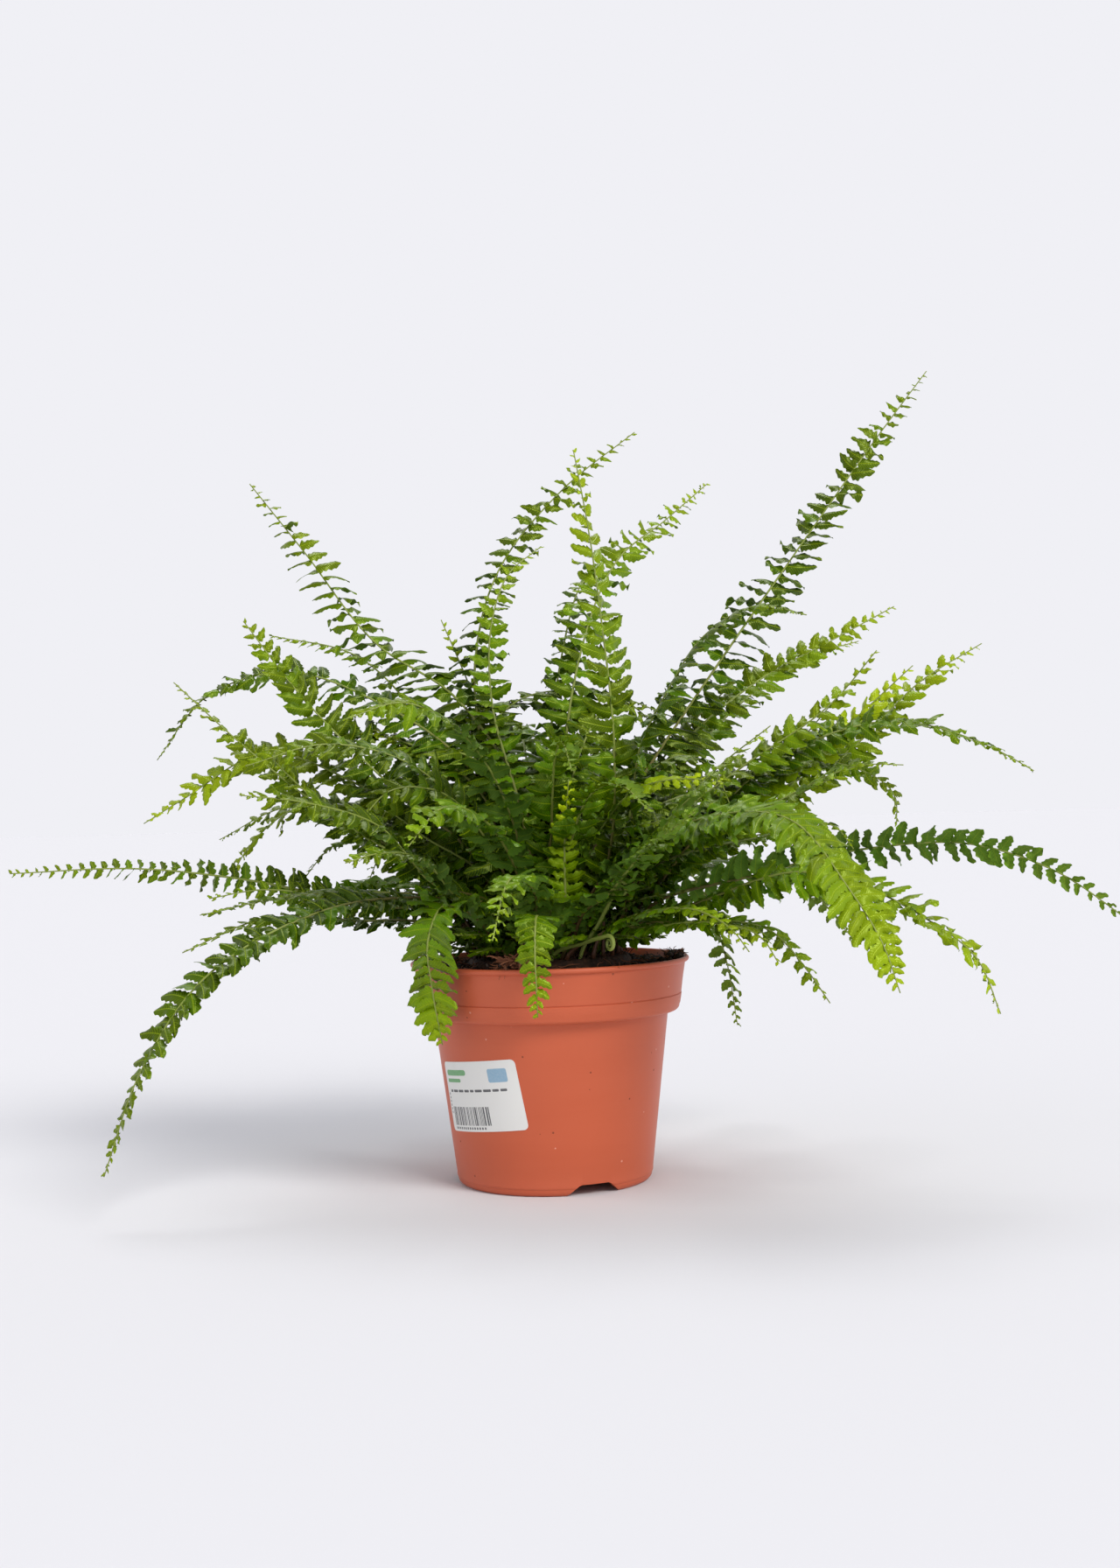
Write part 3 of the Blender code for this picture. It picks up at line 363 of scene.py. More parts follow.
class FernFrondSettings(bpy.types.PropertyGroup):
    pitch: bpy.props.FloatProperty(
        name="Pinna spacing", description="Distance between pinnae on one side",
        default=8.7 * MM, unit="LENGTH",
    )
    breadth: bpy.props.FloatProperty(
        name="Pinna breadth", description="Breadth of a pinna as a share of the spacing",
        default=0.96,
    )
    low_count: bpy.props.IntProperty(
        name="Low fronds", description="Short fronds that fill the heart of the plant",
        default=60,
    )
    along: bpy.props.IntProperty(name="Steps along", description="Mesh steps along a pinna", default=18)
    across: bpy.props.IntProperty(
        name="Steps across", description="Mesh steps across a pinna",
        default=4,
    )
    dark: bpy.props.FloatVectorProperty(
        name="Dark green", description="Colour of the darkest grown pinnae",
        default=linear("#0E3202"), size=4, subtype="COLOR",
    )
    light: bpy.props.FloatVectorProperty(
        name="Light green", description="Colour of the lightest grown pinnae",
        default=linear("#408004"), size=4, subtype="COLOR",
    )
    young: bpy.props.FloatVectorProperty(
        name="Young green", description="Colour of fresh growth",
        default=linear("#B2C814"), size=4, subtype="COLOR",
    )
    underside: bpy.props.FloatVectorProperty(
        name="Underside", description="Colour of the pinnae's undersides",
        default=linear("#5C7F36"), size=4, subtype="COLOR",
    )
    stalk_old: bpy.props.FloatVectorProperty(
        name="Old stalk", description="Colour of a stalk at its foot",
        default=linear("#5E3B26"), size=4, subtype="COLOR",
    )
    stalk_green: bpy.props.FloatVectorProperty(
        name="Green stalk", description="Colour of a stalk further out",
        default=linear("#84923F"), size=4, subtype="COLOR",
    )


class FernLabelSettings(bpy.types.PropertyGroup):
    paper: bpy.props.FloatVectorProperty(
        name="Paper", description="Colour of the label",
        default=linear("#E4E4E0"), size=4, subtype="COLOR",
    )
    bars: bpy.props.IntProperty(name="Bars", description="Stripes in the printed block", default=26)


class FernStageSettings(bpy.types.PropertyGroup):
    distance: bpy.props.FloatProperty(
        name="Camera distance", description="From the camera to the pot's axis",
        default=1.12, unit="LENGTH",
    )
    height: bpy.props.FloatProperty(
        name="Camera height", description="Height of the camera",
        default=0.2224, unit="LENGTH",
    )
    aside: bpy.props.FloatProperty(
        name="Camera aside", description="How far the camera stands to the right",
        default=0.0092, unit="LENGTH",
    )
    pitch: bpy.props.FloatProperty(
        name="Camera pitch", description="Upward tilt",
        default=math.radians(0.9), subtype="ANGLE",
    )
    roll: bpy.props.FloatProperty(
        name="Camera roll", description="Turn about the line of sight",
        default=math.radians(1.55), subtype="ANGLE",
    )
    lens: bpy.props.FloatProperty(name="Lens", description="Focal length in millimetres", default=41.97)
    floor: bpy.props.FloatVectorProperty(
        name="Floor", description="Colour of the floor",
        default=linear("#DEDEE2"), size=4, subtype="COLOR",
    )
    backdrop: bpy.props.FloatVectorProperty(
        name="Backdrop", description="Colour of the air at eye level",
        default=linear("#F0F0F5"), size=4, subtype="COLOR",
    )


# Shared by all pieces


def node(tree, kind, inputs=(), out=None, **settings):
    """Adds a shader node, sets its properties, fills or links its inputs (by name, or the open ones
    in order), and gives back one output: the named one, or the first that is open."""
    made = tree.nodes.new("ShaderNode" + kind)
    for key, value in settings.items():
        setattr(made, key, value)
    if isinstance(inputs, dict):
        pairs = [(made.inputs[key], value) for key, value in inputs.items()]
    else:
        pairs = zip([socket for socket in made.inputs if socket.enabled], inputs)
    for socket, value in pairs:
        if isinstance(value, bpy.types.NodeSocket):
            tree.links.new(value, socket)
        else:
            socket.default_value = value
    return made.outputs[out] if out else next(socket for socket in made.outputs if socket.enabled)


def new_material(name):
    """An empty material with its shader, and what adds nodes to it."""
    made = bpy.data.materials.new(name)
    made.use_nodes = True
    tree = made.node_tree
    tree.nodes.clear()
    shader = tree.nodes.new("ShaderNodeBsdfPrincipled")
    output = tree.nodes.new("ShaderNodeOutputMaterial")
    tree.links.new(shader.outputs[0], output.inputs["Surface"])
    return made, shader, partial(node, tree)


def dress(shader, colour, roughness, relief=None, depth=0.0):
    """Gives a shader its colour and roughness, and relief of a real depth in metres."""
    tree = shader.id_data
    tree.links.new(colour, shader.inputs["Base Color"])
    if isinstance(roughness, float):
        shader.inputs["Roughness"].default_value = roughness
    else:
        tree.links.new(roughness, shader.inputs["Roughness"])
    if relief is not None:
        bump = node(tree, "Bump", {"Height": relief, "Strength": 1.0, "Distance": depth})
        tree.links.new(bump, shader.inputs["Normal"])


def per_metre(size):
    """How often a pattern repeats in a metre, from its real size in millimetres."""
    return 1.0 / (size * MM)


def solid_from(name, points, faces, looks):
    """One mesh object from points in metres, its faces turned outwards."""
    mesh = bpy.data.meshes.new(name)
    mesh.from_pydata([tuple(point) for point in points], [], faces)
    work = bmesh.new()
    work.from_mesh(mesh)
    bmesh.ops.recalc_face_normals(work, faces=work.faces)
    work.to_mesh(mesh)
    work.free()
    made = bpy.data.objects.new(name, mesh)
    bpy.context.scene.collection.objects.link(made)
    for look in looks:
        mesh.materials.append(look)
    return made


def smooth(made, angle):
    made.data.shade_smooth()
    made.data.set_sharp_from_angle(angle=math.radians(angle))


def heading_vector(degrees):
    turn = math.radians(degrees)
    return Vector((math.cos(turn), math.sin(turn), 0.0))


def tube_faces(rings, sides):
    """Walls and the two caps of a tube whose rings of points follow each other."""
    walls = []
    for low in range(0, (rings - 1) * sides, sides):
        for side in range(sides):
            after = (side + 1) % sides
            walls.append((low + side, low + after, low + sides + after, low + sides + side))
    return walls, [tuple(reversed(range(sides))), tuple(range((rings - 1) * sides, rings * sides))]


def gather(parts):
    """Several sets of points and faces as one."""
    points = []
    faces = []
    for more_points, more_faces in parts:
        start = len(points)
        points.extend(more_points)
        faces.extend(tuple(start + index for index in face) for face in more_faces)
    return points, faces


def settle(node_name, slot, *pieces):
    """Puts finished pieces on the root in place of a node of the frame."""
    for piece in pieces:
        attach(piece, "root")
        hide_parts(node_name)


def lathe(profile, sides):
    """Points and faces of a closed turned piece; the profile's two ends are on the axis."""
    points = [(0.0, 0.0, profile[0][1])]
    faces = []
    rings = profile[1:-1]
    for radius, height in rings:
        for side in range(sides):
            turn = 2.0 * math.pi * side / sides
            points.append((radius * math.cos(turn), radius * math.sin(turn), height))
    points.append((0.0, 0.0, profile[-1][1]))
    last = len(points) - 1
    for side in range(sides):
        after = (side + 1) % sides
        faces.append((0, 1 + after, 1 + side))
        for ring in range(len(rings) - 1):
            low = 1 + ring * sides
            high = low + sides
            faces.append((low + side, low + after, high + after, high + side))
        top = 1 + (len(rings) - 1) * sides
        faces.append((top + side, top + after, last))
    return points, faces


def arc(centre, radius, start, end, steps):
    """Profile points on an arc, angles in degrees from outwards, turning upwards."""
    points = []
    for step in range(steps + 1):
        turn = math.radians(start + (end - start) * step / steps)
        points.append((centre[0] + radius * math.cos(turn), centre[1] + radius * math.sin(turn)))
    return points


# Where stalks stand and how they run


def seat_places():
    """Where each stalk stands: as near its own heading as the stalks beside it leave room for."""
    places = {}
    for ring, share in enumerate(SEAT_RINGS):
        radius = share * CROWN_RADIUS
        here = [(row.heading % 360, row.name) for row in FRONDS + CROZIERS if row.ring == ring]
        here.sort()
        turns = [float(heading) for heading, _ in here]
        count = len(turns)
        room = min(math.degrees(SEAT_PITCH / radius), 350.0 / max(count, 1))
        for _ in range(400):
            for index in range(count):
                after = (index + 1) % count
                between = turns[after] - turns[index] + (360.0 if after <= index else 0.0)
                short = room - between
                if count > 1 and short > 0.0:
                    turns[index] -= short / 2.0
                    turns[after] += short / 2.0
        for turn, (_, name) in zip(turns, here):
            places[name] = heading_vector(turn) * radius + Vector((0.0, 0.0, SEAT_HEIGHT))
    return places


def way_point(heading, place):
    """A place on a frond's way; where it hangs below the rim it stays clear of the pot."""
    reach, rise, side = (size * MM for size in place)
    if SEAT_HEIGHT + rise < RIM_TOP + HANG_LEVEL and reach > CROWN_RADIUS:
        reach = max(reach, RIM_RADIUS + HANG_CLEARANCE)
    spot = heading_vector(heading) * reach + heading_vector(heading + 90.0) * side
    return Vector((spot.x, spot.y, SEAT_HEIGHT + rise))


def route_through(stops):
    """A smooth line through the stops, straight up out of the crown, as an array of points."""
    tangents = [Vector((0.0, 0.0, 1.0)) * (stops[1] - stops[0]).length * 0.9]
    for index in range(1, len(stops) - 1):
        before = (stops[index] - stops[index - 1]).length
        after = (stops[index + 1] - stops[index]).length
        slope = (stops[index] - stops[index - 1]) / before * after
        slope += (stops[index + 1] - stops[index]) / after * before
        tangents.append(slope / (before + after))
    tangents.append((stops[-1] - stops[-2]) / (stops[-1] - stops[-2]).length)
    fine = []
    for index in range(len(stops) - 1):
        span = (stops[index + 1] - stops[index]).length
        first = tangents[index] if index == 0 else tangents[index] * span
        last = tangents[index + 1] * span
        for step in range(ROUTE_STEPS):
            t = step / ROUTE_STEPS
            fine.append(
                stops[index] * (2 * t**3 - 3 * t**2 + 1)
                + first * (t**3 - 2 * t**2 + t)
                + stops[index + 1] * (3 * t**2 - 2 * t**3)
                + last * (t**3 - t**2)
            )
    fine.append(stops[-1].copy())
    return np.array([tuple(point) for point in fine])


def unit(rows):
    return rows / np.maximum(np.linalg.norm(rows, axis=-1, keepdims=True), 1e-12)


def route(seat, heading, ways):
    """The line of a stalk from inside the crown through the places of its way."""
    foot = seat - Vector((0.0, 0.0, FOOT_SINK))
    return route_through([foot] + [way_point(heading, place) for place in ways])


class Stalk:
    """A frond's midline with its directions at every distance from the crown."""

    def __init__(self, fine, heading, lean):
        steps = np.linalg.norm(np.diff(fine, axis=0), axis=1)
        self.lengths = np.concatenate([[0.0], np.cumsum(steps)])
        self.total = float(self.lengths[-1])
        self.fine = fine
        self.side = np.array(heading_vector(heading + 90.0))
        self.roll = math.radians(lean) * (1.0 if math.cos(math.radians(heading)) >= 0.0 else -1.0)
        self.heading = heading

    def at(self, distance):
        """Places, tangents, sides and normals at an array of distances."""
        here = self.place(distance)
        step = 1.5 * MM
        tangent = unit(self.place(distance + step) - self.place(distance - step))
        side = unit(self.side - tangent * (tangent @ self.side)[:, None])
        normal = np.cross(tangent, side)
        drift = np.sin(2.0 * math.pi * distance / ROLL_WAVE + self.heading)
        roll = (self.roll + ROLL_DRIFT * drift * distance / self.total)[:, None]
        leaned = side * np.cos(roll) + normal * np.sin(roll)
        return here, tangent, leaned, np.cross(tangent, leaned)

    def place(self, distance):
        held = np.clip(distance, 0.0, self.total)
        return np.stack([np.interp(held, self.lengths, self.fine[:, i]) for i in range(3)], 1)


# Fronds


def blade_profile(share, flat):
    """Length of a pinna as a share of the longest: short by the crown, tapering to the tip, and
    later on a frond that lies flat."""
    opening = min(1.0, 0.3 + 2.9 * share)
    taper = (1.0 - (0.55 - 0.12 * flat) * share**1.2) * max(0.0, 1.0 - share**8) ** 0.8
    return opening * taper


def pinna_outline(u, edge, teeth, phase, pointed):
    """Breadth of one side of a pinna, as a share: tapering tip, narrow foot, ear, scalloped margin."""
    tip = np.clip(1.0 - u ** (5.2 - 2.4 * pointed), 0.0, 1.0) ** (0.5 + 0.25 * pointed)
    foot = np.clip(u / 0.08, 0.0, 1.0)
    foot = 0.4 + 0.6 * foot * foot * (3.0 - 2.0 * foot)
    ear = 0.45 * np.exp(-(((u - 0.1) / 0.08) ** 2)) * (edge > 0.0)
    scallop = 1.0 + 0.14 * np.cos(2.0 * math.pi * (teeth * u + phase))
    return tip * (foot + ear) * (1.0 - 0.12 * u) * scallop


def pinna_grid(settings):
    """Vertex order and faces of one closed thin pinna: a top and an underside that share their margin."""
    rows = settings.along + 1
    columns = settings.across + 1
    top = np.arange(rows * columns).reshape(rows, columns)
    under = top.copy()
    inner = (rows - 2) * (columns - 2)
    under[1:-1, 1:-1] = rows * columns + np.arange(inner).reshape(rows - 2, columns - 2)
    quads = []
    for row in range(rows - 1):
        for column in range(columns - 1):
            corners = ((row, column), (row + 1, column), (row + 1, column + 1), (row, column + 1))
            quads.append([top[c] for c in corners])
            quads.append([under[c] for c in reversed(corners)])
    return top, under, np.array(quads), rows * columns + inner


def frond_pinnae(stalk, row, settings, rng):
    """Where each pinna stands on the frond, its size and its attitude, as arrays. Neighbours swing
    together in slow waves, and each strays a little; those of a frond that lies flat stand closer,
    broader and straighter, and stray less."""
    turned = row.turned
    start = stalk.total * row.bare * 0.3
    flat = max(0.0, 1.0 - turned / FLAT_TURN)
    slender = min(1.0, 0.66 + row.width / 120.0)
    spots = []
    along = start
    while along < stalk.total - PINNA_TIP_GAP:
        share = (along - start) / (stalk.total - start)
        reach = blade_profile(share, flat)
        pitch = settings.pitch * (0.55 + 0.45 * min(1.0, reach * 2.6)) * slender * (1.0 - 0.3 * flat)
        spots.append((along, 1.0, share, reach, pitch))
        spots.append((along + pitch * 0.5, -1.0, share, reach, pitch))
        along += pitch
    distance, hand, share, reach, pitch = np.array(spots).T
    number = len(spots)

    def jitter(size):
        return rng.normal(0.0, size, number)

    length = np.maximum(row.width * 0.5 * MM * reach * (1.0 + jitter(0.1)), PINNA_SHORTEST)
    slow = rng.normal(0.0, 1.0, 6)
    swing = sum(slow[i] * np.sin((i + 1) * math.pi * share + slow[i + 3] * 3.0) for i in range(3))
    breadth = np.minimum(pitch * settings.breadth * (1.0 + 0.35 * flat), length * 0.62) * 0.5
    return {
        "distance": np.minimum(distance, stalk.total - 0.5 * MM),
        "hand": hand,
        "share": share,
        "length": length,
        "breadth": breadth * (1.0 + jitter(0.07)),
        "angle": np.radians(84.0 + 4.0 * flat - (22.0 - 10.0 * flat) * share**2 + jitter(5.0 - 2.0 * flat)),
        "lift": np.radians(4.0 + 6.0 * swing + jitter(9.5) * (1.0 - 0.55 * flat)),
        "twist": np.radians(0.15 * turned + 12.0 * swing + jitter(15.0 - 9.0 * flat)),
        "level": np.full(number, 0.85 * min(max((turned - 20.0) / 35.0, 0.0), 1.0)),
        "skyward": np.clip(turned / 85.0 + jitter(0.14), 0.0, 0.75),
        "curl": np.radians(jitter(18.0) - 8.0),
        "droop": 0.16 - 0.12 * flat + jitter(0.12) * (1.0 - 0.7 * flat) + 0.12 * turned / 50.0,
        "hook": 0.2 + 0.12 * share + jitter(0.05),
        "cup": 0.34 + jitter(0.16),
        "wave": np.abs(jitter(0.06)) + 0.02,
        "phase": rng.random(number),
        "pointed": np.clip(turned / 40.0 + jitter(0.12), 0.0, 1.0),
        "tone": jitter(0.19),
    }


def pinnae_points(stalk, sizes, top, under, each):
    """All the pinnae's points in one array, and each point's place on its own blade in millimetres.

    A pinna is shaped flat first: along it, across it with its hook, and its height with cup, droop
    and ripple. Then it is turned about its length and stood on the stalk, where its length is
    brought level and its face to the sky by the shares that go with its frond."""
    rows, columns = top.shape
    u = np.linspace(0.0, 0.992, rows)[None, :, None]
    v = np.linspace(-1.0, 1.0, columns)[None, None, :]
    shaped = {key: value[:, None, None] for key, value in sizes.items()}
    teeth = np.maximum(np.round(shaped["length"] / SCALLOP), 2.0)
    teeth = np.minimum(teeth, (rows - 1) / 2.0)
    edge = np.sign(v) + 0.0 * u
    breadth = shaped["breadth"] * pinna_outline(u + 0.0 * v, edge, teeth, shaped["phase"], shaped["pointed"])
    across = v * breadth
    along = shaped["length"] * u + 0.0 * v
    bend = shaped["hook"] * shaped["length"] * u**2
    ripple = np.sin(2.0 * math.pi * (1.6 * u + shaped["phase"]))
    height = -shaped["cup"] * breadth * v**2
    height = height + shaped["length"] * (0.1 * u - (0.1 + shaped["droop"]) * u**2)
    height = height + shaped["wave"] * shaped["length"] * ripple * v * np.abs(v)
    turn = shaped["twist"] + shaped["curl"] * u
    flat_across = across * np.cos(turn) - height * np.sin(turn) + bend
    flat_height = across * np.sin(turn) + height * np.cos(turn)
    here, tangent, side, normal = stalk.at(sizes["distance"])
    hand = sizes["hand"][:, None]
    angle = sizes["angle"][:, None]
    out = np.cos(angle) * tangent + np.sin(angle) * hand * side
    lift = sizes["lift"][:, None]
    raised = out * np.cos(lift) + normal * np.sin(lift)
    up = normal * np.cos(lift) - out * np.sin(lift)
    raised = unit(raised - SKY * (raised @ SKY)[:, None] * sizes["level"][:, None])
    share = sizes["skyward"][:, None]
    up = up * (1.0 - share) + SKY * share
    up = unit(up - raised * (up * raised).sum(1)[:, None])
    forward = np.cross(raised, up) * hand

    def spread(direction, amount):
        return direction[:, None, None, :] * amount[..., None]

    points = here[:, None, None, :] + spread(raised, along) + spread(forward, flat_across)
    points = points + spread(up, flat_height)
    skin = np.cross(raised, forward) * -hand
    offset = spread(skin, np.full(along.shape, PINNA_SKIN))
    number = len(hand)
    every = np.zeros((number, each, 3))
    blade = np.zeros((number, each, 3))
    place = np.stack([along / MM, across / MM, np.broadcast_to(v, along.shape)], -1)
    every[:, under.ravel()] = (points - offset).reshape(number, -1, 3)
    blade[:, under.ravel()] = place.reshape(number, -1, 3)
    margin = np.ones((rows, columns), bool)
    margin[1:-1, 1:-1] = False
    lifted = points + offset * (~margin)[None, :, :, None]
    every[:, top.ravel()] = lifted.reshape(number, -1, 3)
    blade[:, top.ravel()] = place.reshape(number, -1, 3)
    return every, blade


def stalk_tube(stalk):
    """Rings of a stalk that swells at its foot, with a shallow groove along its upper side."""
    rings = max(12, int(stalk.total / STALK_RING_PITCH)) + 1
    distance = np.linspace(0.0, stalk.total, rings)
    here, _, side, normal = stalk.at(distance)
    share = distance / stalk.total
    radius = STALK_FOOT_RADIUS + (STALK_TIP_RADIUS - STALK_FOOT_RADIUS) * share**0.8
    radius = radius * (1.0 + 0.35 * np.exp(-distance / (5.0 * MM)))
    points = []
    for corner in range(STALK_SIDES):
        turn = 2.0 * math.pi * corner / STALK_SIDES
        up = math.sin(turn) * (0.55 if corner == STALK_SIDES // 4 else 0.9)
        points.append(here + (side * math.cos(turn) + normal * up) * radius[:, None])
    points = np.stack(points, 1).reshape(-1, 3)
    blade = np.zeros((len(points), 3))
    blade[:, 0] = np.repeat(distance / MM, STALK_SIDES)
    blade[:, 2] = np.repeat(share, STALK_SIDES)
    return points, *tube_faces(rings, STALK_SIDES), blade


def bake_cells(count):
    """Tall cells in a grid above the stalk's strip, for laying each pinna's two faces out flat."""
    down = max(1, math.ceil(math.sqrt(count / 3.0)))
    over = math.ceil(count / down)
    left = 1.0 - GRID_FLOOR
    inner = 1.0 - 2.0 * CELL_MARGIN
    cells = []
    for index in range(count):
        x = (index % over + CELL_MARGIN) / over
        y = GRID_FLOOR + left * (index // over + CELL_MARGIN) / down
        cells.append((x, y, inner / over, left * inner / down))
    return cells


def frond_mesh(name, stalk, row, settings, rng, looks):
    """One frond: its stalk and all its pinnae in one mesh, with what the finish needs to know."""
    top, under, quads, each = pinna_grid(settings)
    sizes = frond_pinnae(stalk, row, settings, rng)
    points, blade = pinnae_points(stalk, sizes, top, under, each)
    number = len(points)
    tube, tube_quads, caps, tube_blade = stalk_tube(stalk)
    base = number * each
    flipped = quads[:, ::-1]
    orders = [flipped if hand > 0 else quads for hand in sizes["hand"]]
    pinna_quads = np.concatenate([order + index * each for index, order in enumerate(orders)])
    rest = np.concatenate([np.array(tube_quads).ravel(), np.array(caps).ravel()]) + base
    corners = np.concatenate([pinna_quads.ravel(), rest])
    counts = [4] * (len(pinna_quads) + len(tube_quads)) + [len(cap) for cap in caps]
    starts = np.concatenate([[0], np.cumsum(counts)[:-1]])
    is_stalk = np.arange(len(counts)) >= len(pinna_quads)
    mesh = bpy.data.meshes.new(name)
    mesh.vertices.add(base + len(tube))
    mesh.vertices.foreach_set("co", np.concatenate([points.reshape(-1, 3), tube]).ravel())
    mesh.loops.add(len(corners))
    mesh.loops.foreach_set("vertex_index", corners.astype(np.int32))
    mesh.polygons.add(len(counts))
    mesh.polygons.foreach_set("loop_start", starts.astype(np.int32))
    mesh.polygons.foreach_set("material_index", is_stalk.astype(np.int32))
    mesh.update(calc_edges=True)
    share = np.concatenate([np.repeat(sizes["share"], each), np.linspace(0.0, 1.0, len(tube))])
    tone = np.concatenate([np.repeat(sizes["tone"], each), np.zeros(len(tube))]) + row.lightness
    fresh = row.youth * (0.12 + 0.85 * share**2) + (0.3 + 0.4 * row.youth) * share**4 + tone * 0.08
    underside = np.zeros(len(counts))
    underside[1 : len(pinna_quads) : 2] = 1.0
    mark(mesh, "tone", "FLOAT", "POINT", np.clip(tone, 0.0, 1.0))
    mark(mesh, "fresh", "FLOAT", "POINT", np.clip(fresh, 0.0, 1.0))
    mark(mesh, "share", "FLOAT", "POINT", share)
    mark(mesh, "blade", "FLOAT_VECTOR", "POINT", np.concatenate([blade.reshape(-1, 3), tube_blade]))
    mark(mesh, "underside", "FLOAT", "FACE", underside)
    lay_flat(mesh, top.shape, sizes["hand"], len(tube_quads), caps)
    made = bpy.data.objects.new(name, mesh)
    bpy.context.scene.collection.objects.link(made)
    for look in looks:
        mesh.materials.append(look)
    smooth(made, 100.0)
    return made


def mark(mesh, name, kind, domain, values):
    """Stores a value or a vector for the finish at every point or face."""
    layer = mesh.attributes.new(name, kind, domain)
    key = "vector" if kind == "FLOAT_VECTOR" else "value"
    layer.data.foreach_set(key, np.asarray(values, np.float32).ravel())


def lay_flat(mesh, shape, hands, tube_count, caps):
    """A flat layout for the bake: a cell for each face of each pinna, and a strip for the stalk."""
    rows, columns = shape
    cells = np.array(bake_cells(len(hands) * 2))
    corners = []
    for row in range(rows - 1):
        for column in range(columns - 1):
            quad = ((row, column), (row + 1, column), (row + 1, column + 1), (row, column + 1))
            flat = [(c[1] / (columns - 1), c[0] / (rows - 1)) for c in quad]
            corners += [flat, flat[::-1]]
    corners = np.array(corners)
    every = []
    for index, hand in enumerate(hands):
        placed = np.array(corners[:, ::-1] if hand > 0 else corners)
        for face in (0, 1):
            x, y, wide, tall = cells[index * 2 + face]
            placed[face::2] = placed[face::2] * (wide, tall) + (x, y)
        every.append(placed.reshape(-1, 2))
    strip = []
    rings = tube_count // STALK_SIDES
    for face in range(tube_count):
        ring, corner = divmod(face, STALK_SIDES)
        x0, x1 = ring / rings, (ring + 1) / rings
        y0, y1 = STRIP_HEIGHT * corner / STALK_SIDES, STRIP_HEIGHT * (corner + 1) / STALK_SIDES
        strip += [(x0, y0), (x0, y1), (x1, y1), (x1, y0)]
    for cap in caps:
        for index in range(len(cap)):
            turn = 2.0 * math.pi * index / len(cap)
            strip.append((0.5 + CAP_SIZE * math.cos(turn), CAP_PLACE + CAP_SIZE * math.sin(turn)))
    layer = mesh.uv_layers.new(name="OFBake")
    flat = np.concatenate(every + [np.array(strip)])
    layer.data.foreach_set("uv", flat.astype(np.float32).ravel())


def pinna_material(settings):
    """Living fern leaf: thin green tissue with a waxy skin, so it has a soft sheen on top, a duller
    and greyer underside, side veins that fork from a pale midrib, and lets some light through."""
    made, shader, add = new_material("living fern leaf")
    tone, fresh, underside = (add("Attribute", attribute_name=key, out="Fac") for key in LEAF_MARKS)
    blade = add("Attribute", attribute_name="blade", out="Vector")
    along, across, edge = (add("SeparateXYZ", (blade,), out=axis) for axis in "XYZ")
    out = add("Math", (across,), operation="ABSOLUTE")
    place = add("TexCoord", out="Object")
    mottle = add("TexNoise", (place, per_metre(11.11), 3.0, 0.55))
    patch = add("TexNoise", (place, per_metre(45.45), 2.0, 0.55))
    patch = add("Math", (patch, 0.5, -0.25), operation="MULTIPLY_ADD")
    lightness = add("Math", (tone, patch), operation="ADD", use_clamp=True)
    green = add("Mix", (lightness, settings.dark, settings.light), data_type="RGBA")
    green = add("Mix", (fresh, green, settings.young), data_type="RGBA")
    # side veins every 1.5 mm, drawn a little coarser than real so that they show
    phase = add("Math", (out, -0.75, along), operation="MULTIPLY_ADD")
    phase = add("Math", (phase, 2.0 * math.pi / 1.5), operation="MULTIPLY")
    ridge = add("Math", (phase,), operation="SINE")
    ridge = add("Math", (ridge, 0.5, 0.5), operation="MULTIPLY_ADD")
    vein = add("Math", (ridge, 3.0), operation="POWER")
    # the midrib fades over 0.45 mm to each side, wider than real so that it shows
    midrib = add("Math", (out, 0.45), operation="DIVIDE")
    midrib = add("Math", (1.0, midrib), operation="SUBTRACT", use_clamp=True)
    edge = add("Math", (edge,), operation="ABSOLUTE")
    margin = add("Math", (edge, 8.0, -7.1), operation="MULTIPLY_ADD", use_clamp=True)
    for mark, share in ((vein, 0.16), (midrib, 0.45), (margin, 0.25)):
        share = add("Math", (mark, share), operation="MULTIPLY")
        green = add("Mix", (share, green, settings.young), data_type="RGBA")
    spot = add("Math", (mottle, 5.0, -3.2), operation="MULTIPLY_ADD", use_clamp=True)
    spot = add("Math", (spot, 0.22), operation="MULTIPLY")
    green = add("Mix", (spot, green, linear("#1B3A12")), data_type="RGBA")
    pale = add("Mix", (0.5, green, settings.underside), data_type="RGBA")
    colour = add("Mix", (underside, green, pale), data_type="RGBA")
    rough = add("Math", (mottle, 0.16, 0.2), operation="MULTIPLY_ADD")
    rough = add("Math", (underside, 0.3, rough), operation="MULTIPLY_ADD")
    relief = add("Math", (vein, -0.35), operation="MULTIPLY")
    relief = add("Math", (midrib, -1.0, relief), operation="MULTIPLY_ADD")
    relief = add("Math", (mottle, 0.35, relief), operation="MULTIPLY_ADD")
    dress(shader, colour, rough, relief, 0.16 * MM)
    shader.inputs["IOR"].default_value = 1.42
    shader.inputs["Specular IOR Level"].default_value = 0.85
    # a broad white sheen would grey the leaf; its wax lies on green tissue, which tints it
    shader.inputs["Specular Tint"].default_value = linear("#D8EE78")
    glow = add("Mix", (0.22, colour, settings.young), data_type="RGBA")
    glow = add("BsdfTranslucent", {"Color": glow})
    both = add("MixShader", (0.14, shader.outputs[0], glow))
    tree = shader.id_data
    tree.links.new(both, tree.nodes["Material Output"].inputs["Surface"])
    return made


